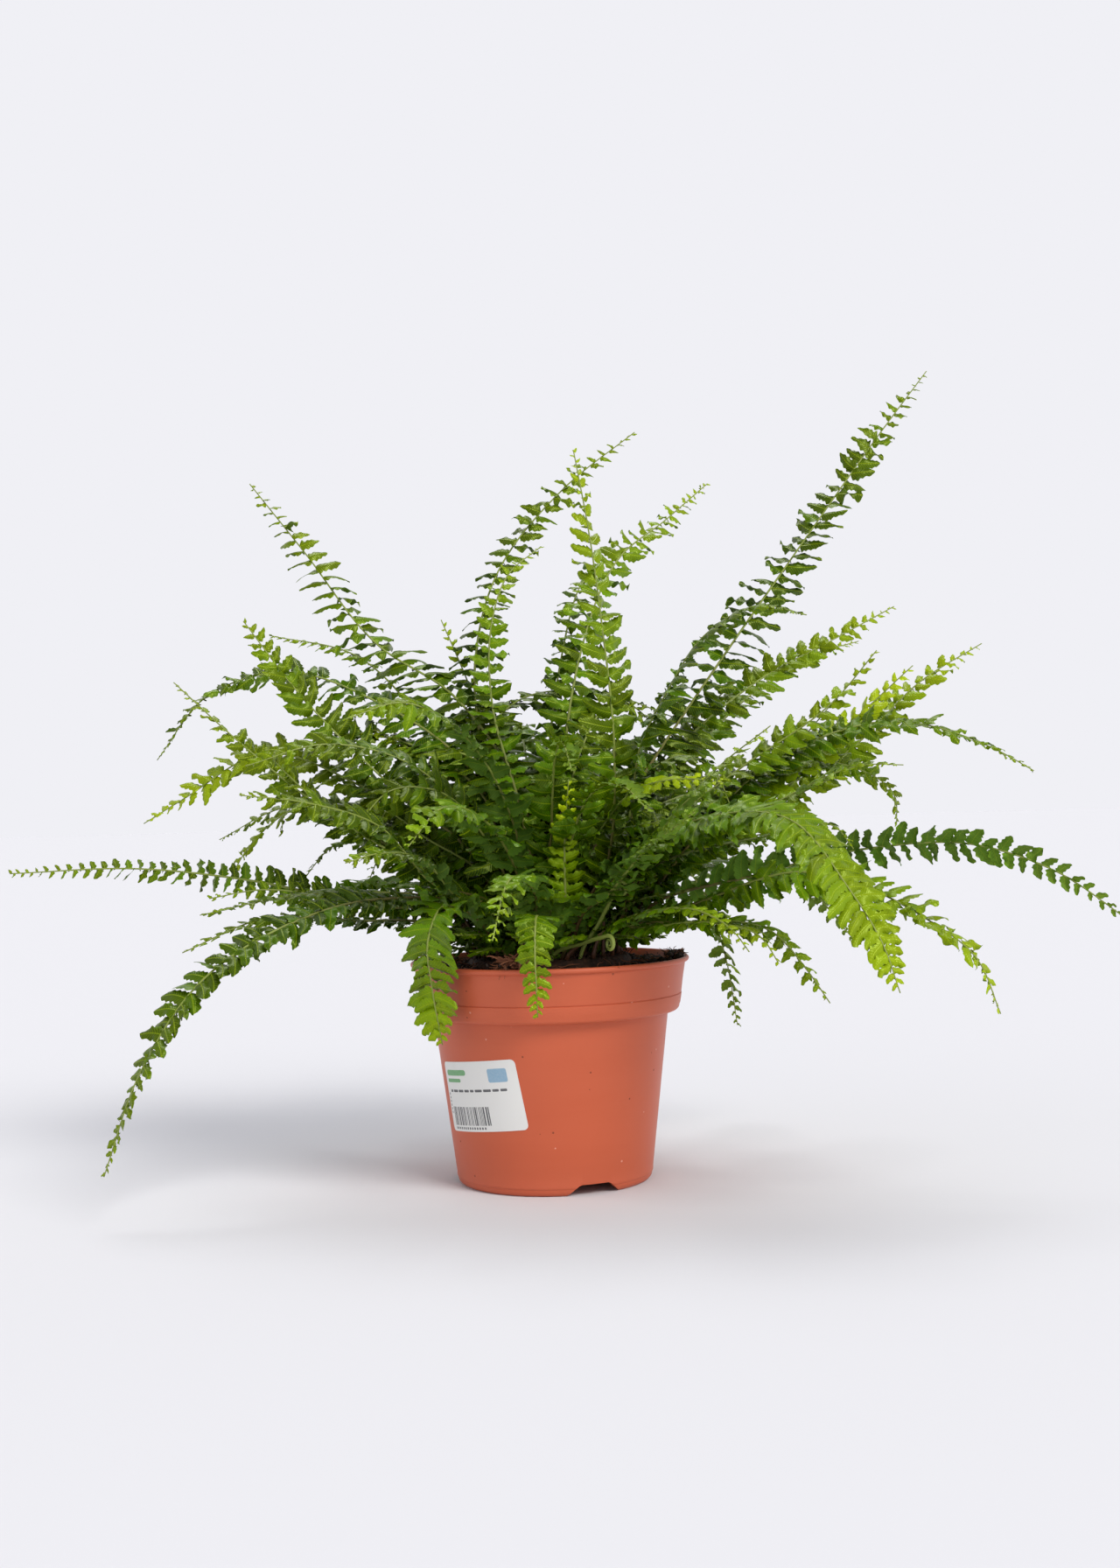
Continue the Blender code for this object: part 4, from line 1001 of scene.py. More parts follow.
def stalk_material(settings):
    """Living fern stalk: ribbed and a little hairy, brown at the foot and olive further out, satin."""
    made, shader, add = new_material("living fern stalk")
    share = add("Attribute", attribute_name="share", out="Fac")
    fresh = add("Attribute", attribute_name="fresh", out="Fac")
    streak = add("TexNoise", (add("TexCoord", out="Object"), per_metre(6.25), 3.0, 0.55))
    rise = add("Math", (fresh, 1.4, -0.45), operation="MULTIPLY_ADD")
    rise = add("Math", (share, 2.2, rise), operation="MULTIPLY_ADD")
    rise = add("Math", (streak, 0.5, rise), operation="MULTIPLY_ADD", use_clamp=True)
    colour = add("Mix", (rise, settings.stalk_old, settings.stalk_green), data_type="RGBA")
    dress(shader, colour, 0.5, streak, 0.12 * MM)
    shader.inputs["IOR"].default_value = 1.42
    return made


def green_looks(settings):
    """The leaf and stalk finishes, made once and shared by every frond and crozier."""
    leaf = bpy.data.materials.get("living fern leaf") or pinna_material(settings)
    stalk = bpy.data.materials.get("living fern stalk") or stalk_material(settings)
    return leaf, stalk


def slot_for(name):
    return "young_frond" if "yellow" in name or "young" in name else "mature_frond"


def sister_hands(row):
    """The sides on which a frond has a sister: none where it hangs or across the front, and both
    at the back, where only the silhouette shows."""
    last = row.ways[-1]
    if last[1] <= SISTER_LEVEL or last[0] <= SISTER_REACH or abs(row.heading - FRONT) <= FRONT_SPREAD:
        return ()
    return (1.0, -1.0) if row.ring < 3 and 30.0 < row.heading < 140.0 else (1.0,)


def sister(row, seat, hand, settings, rng, looks):
    """A shorter frond that rises beside its frond from the same seat."""
    aside = hand * rng.uniform(10.0, 32.0)
    tall = row.ways[-1][1] > SISTER_TALL
    reach = rng.uniform(0.4, 0.65) if tall else rng.uniform(0.6, 0.92)
    rise = rng.uniform(0.3, 0.5) if tall else rng.uniform(0.55, 0.85)
    ways = []
    for index, (out, up, side) in enumerate(row.ways):
        part = (index + 1) / len(row.ways)
        shorter, lower = 1.0 - (1.0 - reach) * part, 1.0 - (1.0 - rise) * part
        ways.append((out * shorter, up * lower, side + aside * part))
    foot = seat + heading_vector(row.heading + 90.0) * math.copysign(SISTER_FOOT, aside)
    stalk = Stalk(route(foot, row.heading, ways), row.heading, row.lean + rng.normal(0.0, 14.0))
    tone = row.lightness * rng.uniform(0.3, 0.9)
    turned = row.turned + rng.normal(0.0, 10.0)
    own = row._replace(width=row.width * 0.82, lightness=tone, youth=row.youth * 0.5, turned=turned)
    return frond_mesh("sister", stalk, own, settings, rng, looks)


def join(piece, other):
    """Makes another mesh part of a piece."""
    both = [piece, other]
    with bpy.context.temp_override(active_object=piece, object=piece, selected_editable_objects=both):
        bpy.ops.object.join()


class FERN_OT_fronds(bpy.types.Operator):
    """Every frond, each a stalk with two rows of scalloped pinnae"""

    bl_idname = "fern.fronds"
    bl_label = "Fronds"

    def execute(self, context):
        settings = context.scene.fern_fronds
        looks = green_looks(settings)
        seats = seat_places()
        for index, row in enumerate(FRONDS):
            seat = seats[row.name]
            stalk = Stalk(route(seat, row.heading, row.ways), row.heading, row.lean)
            rng = np.random.default_rng(1000 + index)
            piece = frond_mesh(row.name.replace("frond_", "fern_"), stalk, row, settings, rng, looks)
            for hand in sister_hands(row):
                join(piece, sister(row, seat, hand, settings, rng, looks))
            settle(row.name, slot_for(row.name), piece)
        return {"FINISHED"}


# Croziers


def crozier_route(row, seat):
    """Stalk up from the crown, then a flat coil that turns inwards."""
    spots = [Vector(point) for point in route(seat, row.heading, row.ways)[::4]]
    forward = (spots[-1] - spots[-2]).normalized()
    down = Vector((0.0, 0.0, -1.0))
    down = (down - forward * down.dot(forward)).normalized()
    middle = spots[-1] + down * COIL_RADIUS
    for step in range(1, COIL_STEPS + 1):
        turn = math.radians(10.0 * step)
        radius = COIL_RADIUS * (1.0 - 0.0155 * step)
        spots.append(middle + (forward * math.sin(turn) - down * math.cos(turn)) * radius)
    return np.array([tuple(spot) for spot in spots]), forward.cross(down).normalized()


def bud(rng, place, across, size):
    """Points and faces of one folded pinna bud on the side of the coil."""
    points = []
    for lift in (-50.0, 0.0, 50.0):
        rise = math.radians(lift)
        for corner in range(BUD_SIDES):
            turn = math.radians(360.0 * corner / BUD_SIDES + rng.uniform(-8.0, 8.0))
            spread = math.cos(rise) * size * 0.62
            ball = np.array((math.cos(turn) * spread, math.sin(turn) * spread, 0.0))
            points.append(place + across * size * 0.9 + ball + across * math.sin(rise) * size)
    walls, caps = tube_faces(3, BUD_SIDES)
    return points, walls + caps


def crozier_mesh(name, way, across, looks):
    """A hairy young stalk coiled at its end, with folded pinna buds along the coil."""
    count = len(way)
    points = []
    share = []
    across = np.array(across)
    for index in range(count):
        out = np.cross(way[min(index + 1, count - 1)] - way[max(index - 1, 0)], across)
        out /= np.linalg.norm(out)
        along = index / (count - 1)
        radius = 1.2 * MM * (1.0 - 0.55 * max(0.0, along - 0.25))
        for corner in range(CROZIER_SIDES):
            turn = 2.0 * math.pi * corner / CROZIER_SIDES
            points.append(way[index] + (out * math.cos(turn) + across * math.sin(turn)) * radius)
            share.append(0.15 + 0.4 * along)
    walls, caps = tube_faces(count, CROZIER_SIDES)
    parts = [(points, walls + caps)]
    rng = random.Random(7)
    for index in range(count // 2, count - 2):
        size = 1.5 * MM * (1.1 - 0.6 * index / count)
        for hand in (-1.0, 1.0):
            parts.append(bud(rng, way[index], across * hand, size))
    every, faces = gather(parts)
    made = solid_from(name, every, faces, looks)
    share += [0.9] * (len(every) - len(share))
    mark(made.data, "share", "FLOAT", "POINT", share)
    mark(made.data, "fresh", "FLOAT", "POINT", [0.9] * len(every))
    smooth(made, 60.0)
    return made


class FERN_OT_low_fronds(bpy.types.Operator):
    """Short young fronds that fill the heart of the plant, low over the compost"""

    bl_idname = "fern.low_fronds"
    bl_label = "Low fronds"

    def execute(self, context):
        settings = context.scene.fern_fronds
        looks = green_looks(settings)
        for index in range(settings.low_count):
            rng = np.random.default_rng(5000 + index)
            heading = 360.0 * index / settings.low_count + rng.normal(0.0, 4.0)
            # only every third at the front right, where the croziers stand in the open
            if 270.0 < heading < 312.0 and index % 3:
                continue
            near_ground = index % 2 == 0
            reach = rng.uniform(58.0, 78.0) if near_ground else rng.uniform(62.0, 96.0)
            rise = rng.uniform(5.0, 18.0) if near_ground else rng.uniform(16.0, 50.0)
            seat = heading_vector(heading) * rng.uniform(0.45, 0.93) * CROWN_RADIUS
            seat.z = SEAT_HEIGHT
            ways = ((reach * 0.62, rise * 0.8, rng.normal(0.0, 4.0)), (reach, rise, 0.0))
            width, lightness = rng.uniform(20.0, 34.0), rng.uniform(0.15, 0.65)
            youth, turned = rng.uniform(0.0, 0.25), rng.uniform(0.0, 30.0)
            row = Frond("low", heading, 0, width, 0, 0.0, lightness, youth, turned, ways)
            stalk = Stalk(route(seat, heading, ways), heading, rng.normal(0.0, 14.0))
            piece = frond_mesh(f"low_frond_{index + 1}", stalk, row, settings, rng, looks)
            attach(piece, "root")
        return {"FINISHED"}


class FERN_OT_croziers(bpy.types.Operator):
    """The curled young fronds near the front of the crown"""

    bl_idname = "fern.croziers"
    bl_label = "Croziers"

    def execute(self, context):
        _, stalk_look = green_looks(context.scene.fern_fronds)
        seats = seat_places()
        for row in CROZIERS:
            way, across = crozier_route(row, seats[row.name])
            piece = crozier_mesh(row.name.replace("crozier_", "curled_"), way, across, [stalk_look])
            settle(row.name, "young_frond", piece)
        return {"FINISHED"}


# Pot


def collar_radius(height):
    share = (height - COLLAR_LOW) / COLLAR_DEPTH
    return COLLAR_BOTTOM_RADIUS + COLLAR_TAPER * share


def body_radius(height):
    share = (height - FOOT_HEIGHT) / (COLLAR_LOW - FOOT_HEIGHT)
    return BODY_BASE_RADIUS + BODY_TAPER * share


def pot_profile(wall):
    """Half outline of the pot, up the outside, over the bead and down the inside."""
    foot_inner = FOOT_RADIUS - FOOT_THICKNESS
    bead = BEAD_HEIGHT / 2.0
    groove = RIM_TOP - GROOVE_DROP
    floor_top = FOOT_HEIGHT + FLOOR_THICKNESS
    outside = [
        (0.0, FOOT_HEIGHT + 1.0 * MM),
        (foot_inner - 12.0 * MM, FOOT_HEIGHT),
        (foot_inner - 0.8 * MM, FOOT_HEIGHT),
        (foot_inner, FOOT_HEIGHT - 0.8 * MM),
        (foot_inner, 0.3 * MM),
        (foot_inner + 0.3 * MM, 0.0),
        (FOOT_RADIUS - 1.0 * MM, 0.0),
    ]
    corner_height = 4.0 * MM
    flat_edge = FOOT_RADIUS - 1.0 * MM
    reach = body_radius(corner_height) - 0.2 * MM - flat_edge
    for step in range(1, 7):
        turn = math.radians(15.0 * step)
        outside.append((flat_edge + reach * math.sin(turn), corner_height * (1.0 - math.cos(turn))))
    outside += [
        (body_radius(4.6 * MM) + 0.15 * MM, 4.6 * MM),
        (body_radius(5.4 * MM) + 0.2 * MM, 5.4 * MM),
        (body_radius(6.0 * MM), 6.0 * MM),
    ]
    for step in range(1, 12):
        height = 6.0 * MM + (COLLAR_LOW - 8.0 * MM) * step / 11.0
        outside.append((body_radius(height), height))
    outside += arc((BODY_TOP_RADIUS + 1.2 * MM, COLLAR_LOW - 1.2 * MM), 1.2 * MM, 180.0, 90.0, 4)
    round_at = COLLAR_BOTTOM_RADIUS - COLLAR_ROUND
    outside += arc((round_at, COLLAR_LOW + COLLAR_ROUND), COLLAR_ROUND, -90.0, 0.0, 6)
    outside += [(collar_radius(groove - 6.0 * MM), groove - 6.0 * MM)]
    outside += [
        (collar_radius(groove) + 0.12 * MM, groove - 0.7 * MM),
        (collar_radius(groove) + 0.02 * MM, groove - 0.3 * MM),
        (collar_radius(groove) - 0.42 * MM, groove - 0.05 * MM),
        (collar_radius(groove) - 0.42 * MM, groove + 0.15 * MM),
        (collar_radius(groove) - 0.02 * MM, groove + 0.4 * MM),
    ]
    outside += [(collar_radius(groove + 9.0 * MM), groove + 9.0 * MM)]
    outside += [(COLLAR_TOP_RADIUS - 0.05 * MM, RIM_TOP - BEAD_HEIGHT - 0.5 * MM)]
    outside += arc((RIM_RADIUS - bead, RIM_TOP - bead), bead, -78.0, 150.0, 14)
    inside = [
        (COLLAR_TOP_RADIUS - wall - 0.1 * MM, RIM_TOP - 3.0 * MM),
        (collar_radius(COLLAR_LOW + COLLAR_ROUND) - wall, COLLAR_LOW + COLLAR_ROUND),
        (BODY_TOP_RADIUS - wall + 1.0 * MM, COLLAR_LOW + wall),
        (body_radius(COLLAR_LOW - 2.0 * MM) - wall, COLLAR_LOW - 2.0 * MM),
        (body_radius(floor_top + 3.0 * MM) - wall, floor_top + 3.0 * MM),
        (body_radius(floor_top) - wall - 3.0 * MM, floor_top),
        (0.0, floor_top + 1.0 * MM),
    ]
    return outside + inside


def prism(outline, bottom, top, place):
    """Points and faces of an upright prism over an outline, moved by a matrix."""
    count = len(outline)
    points = [place @ Vector((x, y, bottom)) for x, y in outline]
    points += [place @ Vector((x, y, top)) for x, y in outline]
    faces = [tuple(reversed(range(count))), tuple(range(count, 2 * count))]
    for side in range(count):
        after = (side + 1) % count
        faces.append((side, after, count + after, count + side))
    return points, faces


def pot_cutters():
    """Foot notches with eased corners and drain holes, as one set of cutting shapes."""
    cutters = []
    slope = (NOTCH_HALF_WIDTH_LOW - NOTCH_HALF_WIDTH_HIGH) / NOTCH_HEIGHT
    below = 2.0 * MM
    wide = NOTCH_HALF_WIDTH_LOW + slope * below
    ease = 1.6 * MM
    half = [(wide, -below), (NOTCH_HALF_WIDTH_HIGH + slope * ease, NOTCH_HEIGHT - ease)]
    half += [(NOTCH_HALF_WIDTH_HIGH + 0.35 * slope * ease, NOTCH_HEIGHT - 0.4 * ease)]
    half += [(NOTCH_HALF_WIDTH_HIGH - 0.7 * ease, NOTCH_HEIGHT)]
    outline = half + [(-x, y) for x, y in reversed(half)]
    for notch in range(NOTCH_COUNT):
        turn = math.radians(NOTCH_HEADING + 360.0 * notch / NOTCH_COUNT)
        place = Matrix.Rotation(turn, 4, "Z") @ Matrix.Rotation(math.radians(90.0), 4, "Y")
        place = place @ Matrix.Rotation(math.radians(90.0), 4, "Z")
        cutters.append(prism(outline, FOOT_RADIUS - 10.0 * MM, FOOT_RADIUS + 10.0 * MM, place))
    circle = arc((0.0, 0.0), DRAIN_RADIUS, 0.0, 360.0, 32)[:-1]
    for hole in range(DRAIN_COUNT):
        heading = NOTCH_HEADING + 30.0 + 360.0 * hole / DRAIN_COUNT
        middle = heading_vector(heading) * (BODY_BASE_RADIUS - DRAIN_INSET)
        drill = Matrix.Translation(middle)
        cutters.append(prism(circle, FOOT_HEIGHT - 2.0 * MM, FOOT_HEIGHT + FLOOR_THICKNESS + 2.0 * MM, drill))
    return gather(cutters)


def pot_material(settings):
    """Injection-moulded polypropylene coloured like terracotta: an even satin skin with faint flow
    marks, fine scuffs that catch the light, and specks of compost dust."""
    made, shader, add = new_material("moulded terracotta polypropylene")
    place = add("TexCoord", out="Object")
    flow = add("Mapping", {"Vector": place, "Scale": (1.0, 1.0, 6.0)})
    cloud = add("TexNoise", (flow, per_metre(111.1), 4.0, 0.55))
    speck = add("TexVoronoi", (place, per_metre(7.692)))
    grain = add("TexNoise", (place, per_metre(2.381), 2.0, 0.55))
    dusty = add("TexNoise", (place, per_metre(62.5), 3.0, 0.55))
    low = add("SeparateXYZ", (place,), out="Z")
    low = add("Math", (low, -22.0, 0.75), operation="MULTIPLY_ADD", use_clamp=True)
    cloudy = add("Math", (cloud, 0.6, -0.12), operation="MULTIPLY_ADD", use_clamp=True)
    plastic = add("Mix", (cloudy, settings.plastic, linear("#CF6A49")), data_type="RGBA")
    # specks about 1.3 mm across; a random number in each says whether it is dust, a scuff or nothing
    dot = add("Math", (speck, 0.085), operation="LESS_THAN")
    pick = add("SeparateColor", (speck.node.outputs["Color"],))
    chosen = add("Math", (pick, 0.72), operation="GREATER_THAN")
    scuff = add("Math", (pick, 0.14), operation="LESS_THAN")
    scuff = add("Math", (dot, scuff), operation="MULTIPLY")
    scuff = add("Math", (scuff, 0.5), operation="MULTIPLY")
    dirt = add("Math", (dot, chosen), operation="MULTIPLY")
    dirt = add("Math", (dirt, settings.dust * 1.7), operation="MULTIPLY")
    haze = add("Math", (low, dusty), operation="MULTIPLY")
    haze = add("Math", (haze, settings.dust), operation="MULTIPLY")
    for share, colour in ((haze, "#8A4A38"), (dirt, "#4A2A20"), (scuff, "#E9B8A4")):
        plastic = add("Mix", (share, plastic, linear(colour)), data_type="RGBA")
    rough = add("Math", (cloud, 0.12, 0.36), operation="MULTIPLY_ADD")
    rough = add("Math", (dirt, 0.5, rough), operation="MULTIPLY_ADD")
    relief = add("Math", (grain, 0.4, cloud), operation="MULTIPLY_ADD")
    dress(shader, plastic, rough, relief, 0.05 * MM)
    shader.inputs["IOR"].default_value = 1.49
    shader.inputs["Specular IOR Level"].default_value = 0.35
    return made


class FERN_OT_pot(bpy.types.Operator):
    """The moulded pot with its rolled bead, stepped collar and notched foot"""

    bl_idname = "fern.pot"
    bl_label = "Pot"

    def execute(self, context):
        settings = context.scene.fern_pot
        look = pot_material(settings)
        piece = solid_from("nursery_pot", *lathe(pot_profile(settings.wall), settings.sides), [look])
        cutter = solid_from("pot_cutter", *pot_cutters(), [look])
        cut = piece.modifiers.new("cuts", "BOOLEAN")
        cut.operation = "DIFFERENCE"
        cut.solver = "EXACT"
        cut.object = cutter
        graph = context.evaluated_depsgraph_get()
        cut_mesh = bpy.data.meshes.new_from_object(piece.evaluated_get(graph))
        piece.modifiers.clear()
        piece.data = cut_mesh
        bpy.data.objects.remove(cutter)
        smooth(piece, 28.0)
        settle("pot", "pot_plastic", piece)
        return {"FINISHED"}


# Compost and crown


def peat_material(settings):
    """Moist peat compost: dark crumbly lumps, nearly black where wet, with paler fibre showing."""
    made, shader, add = new_material("moist peat compost")
    place = add("TexCoord", out="Object")
    lumps = add("TexNoise", (place, per_metre(3.846), 6.0, 0.65))
    wet = add("TexNoise", (place, per_metre(25.0), 3.0, 0.55))
    fibre = add("TexVoronoi", (place, per_metre(2.0)), feature="DISTANCE_TO_EDGE")
    fibre = add("Math", (fibre, 0.03), operation="LESS_THAN")
    damp = add("Math", (wet, 0.9, -0.25), operation="MULTIPLY_ADD", use_clamp=True)
    colour = add("Mix", (lumps, linear("#120C08"), settings.peat), data_type="RGBA")
    colour = add("Mix", (damp, colour, linear("#3A281C")), data_type="RGBA")
    colour = add("Mix", (fibre, colour, linear("#4D3526")), data_type="RGBA")
    dress(shader, colour, add("Math", (wet, -0.3, 0.98), operation="MULTIPLY_ADD"), lumps, 1.2 * MM)
    return made


def fibre_material(settings):
    """Dry coir and moss fibre: thin dull reddish-brown threads."""
    made, shader, add = new_material("dry coir fibre")
    change = add("TexNoise", (add("TexCoord", out="Object"), per_metre(8.333), 3.0, 0.55))
    dress(shader, add("Mix", (change, settings.fibre, linear("#3E281C")), data_type="RGBA"), 0.85)
    return made


def compost_ground(look):
    """The root ball's solid with a lumpy top, filling the pot to just below the bead."""
    top = COMPOST_HIGH.z - 0.8 * MM
    gap = 0.6 * MM
    wall = POT_WALL + gap
    floor_top = FOOT_HEIGHT + FLOOR_THICKNESS
    profile = [
        (0.0, floor_top + 1.6 * MM),
        (body_radius(floor_top) - wall - 3.0 * MM, floor_top + gap),
        (body_radius(floor_top + 3.0 * MM) - wall, floor_top + 3.5 * MM),
        (body_radius(COLLAR_LOW - 2.0 * MM) - wall, COLLAR_LOW - 2.0 * MM),
        (BODY_TOP_RADIUS - wall + 1.0 * MM, COLLAR_LOW + wall),
        (collar_radius(COLLAR_LOW + COLLAR_ROUND) - wall, COLLAR_LOW + COLLAR_ROUND + gap),
    ]
    edge = collar_radius(top) - wall
    profile += [(edge * (1.0 - ring / GROUND_RINGS), top) for ring in range(GROUND_RINGS + 1)]
    points, faces = lathe(profile, GROUND_SIDES)
    rng = random.Random(3)
    turn = 2.0 * math.pi
    waves = [(rng.uniform(60, 420), rng.uniform(0, turn), rng.uniform(0, turn)) for _ in range(26)]
    shaped = []
    for x, y, z in points:
        radius = math.hypot(x, y)
        if z > top - 0.5 * MM and radius < edge - 0.5 * MM:
            lump = 0.0
            for frequency, direction, phase in waves:
                along = x * math.cos(direction) + y * math.sin(direction)
                lump += math.sin(frequency * along + phase) * 60.0 / (60.0 + frequency)
            z += min(max(lump * 0.42 * MM, -2.2 * MM), 1.8 * MM)
        shaped.append((x, y, z))
    made = solid_from("compost_ground", shaped, faces, [look])
    smooth(made, 60.0)
    return made


def crumb(rng, middle, size):
    """Points and faces of one irregular crumb."""
    work = bmesh.new()
    bmesh.ops.create_icosphere(work, subdivisions=1, radius=1.0)
    turn = Matrix.Rotation(rng.uniform(0.0, 6.28), 3, "Z") @ Matrix.Rotation(rng.uniform(0.0, 6.28), 3, "X")
    stretch = Vector((rng.uniform(0.6, 1.3), rng.uniform(0.6, 1.2), rng.uniform(0.4, 0.9)))
    points = []
    for vert in work.verts:
        swell = rng.uniform(0.75, 1.2)
        spot = Vector([vert.co[i] * stretch[i] * size * swell for i in range(3)])
        points.append(Vector(middle) + turn @ spot)
    faces = [tuple(v.index for v in face.verts) for face in work.faces]
    work.free()
    return points, faces


def fibre(rng, start, heading, length, radius, rise):
    """Points and faces of one thin bent fibre."""
    points = []
    spot = Vector(start)
    steps = 7
    climb = rise
    for step in range(steps + 1):
        direction = heading_vector(heading) + Vector((0.0, 0.0, climb))
        direction.normalize()
        side = direction.cross(Vector((0.0, 0.0, 1.0))).normalized()
        up = side.cross(direction)
        thin = radius * (1.0 - 0.6 * abs(2.0 * step / steps - 1.0))
        points += [spot + side * thin, spot + up * thin, spot - side * thin, spot - up * thin]
        spot = spot + direction * length / steps
        heading += rng.uniform(-28.0, 28.0)
        climb += rng.uniform(-0.35, 0.25)
    walls, caps = tube_faces(steps + 1, 4)
    return points, walls + caps


def loose_spot(rng, outer, height):
    """A random place on the compost inside a radius, at a height."""
    radius = math.sqrt(rng.uniform(0.0, outer**2))
    spot = heading_vector(rng.uniform(0.0, 360.0)) * radius
    return spot + Vector((0.0, 0.0, height))


def rim_spot(heading, reach, height):
    """A place near the rim: its heading in degrees, its radius, and its height above the rim."""
    return heading_vector(heading) * reach + Vector((0.0, 0.0, RIM_TOP + height))


def loose_crumbs(rng, count, top, edge):
    """Crumbs all over the compost, and the heaps of them that lie on the rim."""
    crumbs = []
    for _ in range(count):
        size = rng.uniform(0.5, 1.0) ** 2 * 2.6 * MM
        crumbs.append(crumb(rng, loose_spot(rng, edge - size, top + size * 0.2), size))
    for heading, many in RIM_CRUMBS:
        for _ in range(many):
            size = rng.uniform(0.7, 2.1) * MM
            aside = rng.gauss(0.0, 5.0)
            reach = edge + rng.uniform(-5.0, 3.0) * MM
            crumbs.append(crumb(rng, rim_spot(heading + aside, reach, rng.uniform(-3.5, 2.4) * MM), size))
    return crumbs


def loose_fibres(rng, count, top, edge):
    """Fibres all over the compost, the heaps of them on the rim, and the dry tuft at the front."""
    fibres = []
    for _ in range(count):
        spot = loose_spot(rng, edge - 4.0 * MM, top + 1.0 * MM)
        length, heading = rng.uniform(5.0, 16.0) * MM, rng.uniform(0.0, 360.0)
        fibres.append(fibre(rng, spot, heading, length, rng.uniform(0.15, 0.4) * MM, 0.2))
    for heading, many, rise in RIM_FIBRES:
        for _ in range(many):
            aside = rng.uniform(-6.0, 6.0)
            reach = edge - rng.uniform(0.0, 6.0) * MM
            spot = rim_spot(heading + aside, reach, rng.uniform(-3.0, 2.0) * MM)
            length, turn = rng.uniform(4.0, 9.0) * MM, rng.uniform(0.0, 360.0)
            fibres.append(fibre(rng, spot, turn, length, rng.uniform(0.2, 0.42) * MM, rise))
    for _ in range(TUFT_COUNT):
        heading, reach = rng.uniform(*TUFT_HEADINGS), rng.uniform(*TUFT_REACH) * MM
        spot = rim_spot(heading, reach, rng.uniform(-2.0, 5.0) * MM)
        turn, length = rng.uniform(0.0, 360.0), rng.uniform(6.0, 13.0) * MM
        fibres.append(fibre(rng, spot, turn, length, TUFT_RADIUS, 0.3))
    return fibres


class FERN_OT_compost(bpy.types.Operator):
    """Compost and roots filling the pot, with loose crumbs and fibres on top"""

    bl_idname = "fern.compost"
    bl_label = "Compost"

    def execute(self, context):
        settings = context.scene.fern_compost
        peat = peat_material(settings)
        rng = random.Random(11)
        top = COMPOST_HIGH.z - 0.6 * MM
        edge = collar_radius(top) - 3.0 * MM
        ground = compost_ground(peat)
        crumbs = gather(loose_crumbs(rng, settings.crumbs, top, edge))
        loose = solid_from("compost_crumbs", *crumbs, [peat])
        fibres = gather(loose_fibres(rng, settings.fibres, top, edge))
        threads = solid_from("compost_fibres", *fibres, [fibre_material(settings)])
        for piece in (loose, threads):
            smooth(piece, 70.0)
        settle("compost", "peat_compost", ground, loose, threads)
        return {"FINISHED"}


def crown_material():
    """Scaly rhizome: overlapping rusty-brown scales and old stalk bases, dull and rough."""
    made, shader, add = new_material("scaly fern rhizome")
    place = add("TexCoord", out="Object")
    scales = add("TexVoronoi", (place, per_metre(3.125)))
    change = add("TexNoise", (place, per_metre(14.29), 4.0, 0.55))
    colour = add("Mix", (change, linear("#2C1B11"), linear("#6B4429")), data_type="RGBA")
    colour = add("Mix", (scales, colour, linear("#1C120C")), data_type="RGBA")
    dress(shader, colour, 0.9, scales, 0.8 * MM)
    return made


def rhizome_mound():
    """Points and faces of the low mound, knobbly on top, that the stalks stand on."""
    base = CROWN_LOW.z
    height = CROWN_TOP - base
    profile = [
        (0.0, base),
        (CROWN_RADIUS * 0.98, base),
        (CROWN_RADIUS, base + height * 0.3),
        (CROWN_RADIUS * 0.985, base + height * 0.62),
        (CROWN_RADIUS * 0.955, base + height * 0.9),
    ]
    inner = CROWN_RADIUS * 0.92
    profile += [(inner * (1.0 - ring / MOUND_RINGS), CROWN_TOP) for ring in range(MOUND_RINGS + 1)]
    points, faces = lathe(profile, MOUND_SIDES)
    shaped = []
    for x, y, z in points:
        if z > base + 0.1 * MM:
            knob = math.sin(330.0 * x + 1.3) * math.sin(290.0 * y + 0.4)
            knob += 0.6 * math.sin(610.0 * (x + y))
            swell = 1.0 + 0.02 * math.sin(9.0 * math.atan2(y, x))
            z += 0.7 * MM * knob - 0.6 * MM
            x, y = x * swell, y * swell
        shaped.append((x, y, z))
    return shaped, faces


class FERN_OT_crown(bpy.types.Operator):
    """The scaly mound that the stalks grow from, with rusty hairs"""

    bl_idname = "fern.crown"
    bl_label = "Crown"

    def execute(self, context):
        look = crown_material()
        mound = solid_from("rhizome_mound", *rhizome_mound(), [look])
        smooth(mound, 60.0)
        rng = random.Random(5)
        hairs = []
        for _ in range(HAIR_COUNT):
            radius = math.sqrt(rng.uniform(0.0, 1.0)) * CROWN_RADIUS * 0.98
            start = heading_vector(rng.uniform(0.0, 360.0)) * radius
            start.z = CROWN_TOP - 1.0 * MM
            turn, length = rng.uniform(0, 360), rng.uniform(3.0, 8.0) * MM
            hairs.append(fibre(rng, start, turn, length, rng.uniform(0.12, 0.3) * MM, 1.1))
        fuzz = solid_from("rhizome_hairs", *gather(hairs), [look])
        smooth(fuzz, 70.0)
        settle("crown", "scaly_crown", mound, fuzz)
        return {"FINISHED"}


# Price label


def label_point(across, up, out):
    """A place on the side of the pot, measured in the tilted label from its middle."""
    tilt = math.radians(LABEL_TILT)
    height = LABEL_MIDDLE + across * math.sin(tilt) + up * math.cos(tilt)
    round_by = across * math.cos(tilt) - up * math.sin(tilt)
    turn = math.radians(LABEL_HEADING) + round_by / body_radius(height)
    radius = body_radius(height) + out
    return Vector((radius * math.cos(turn), radius * math.sin(turn), height))


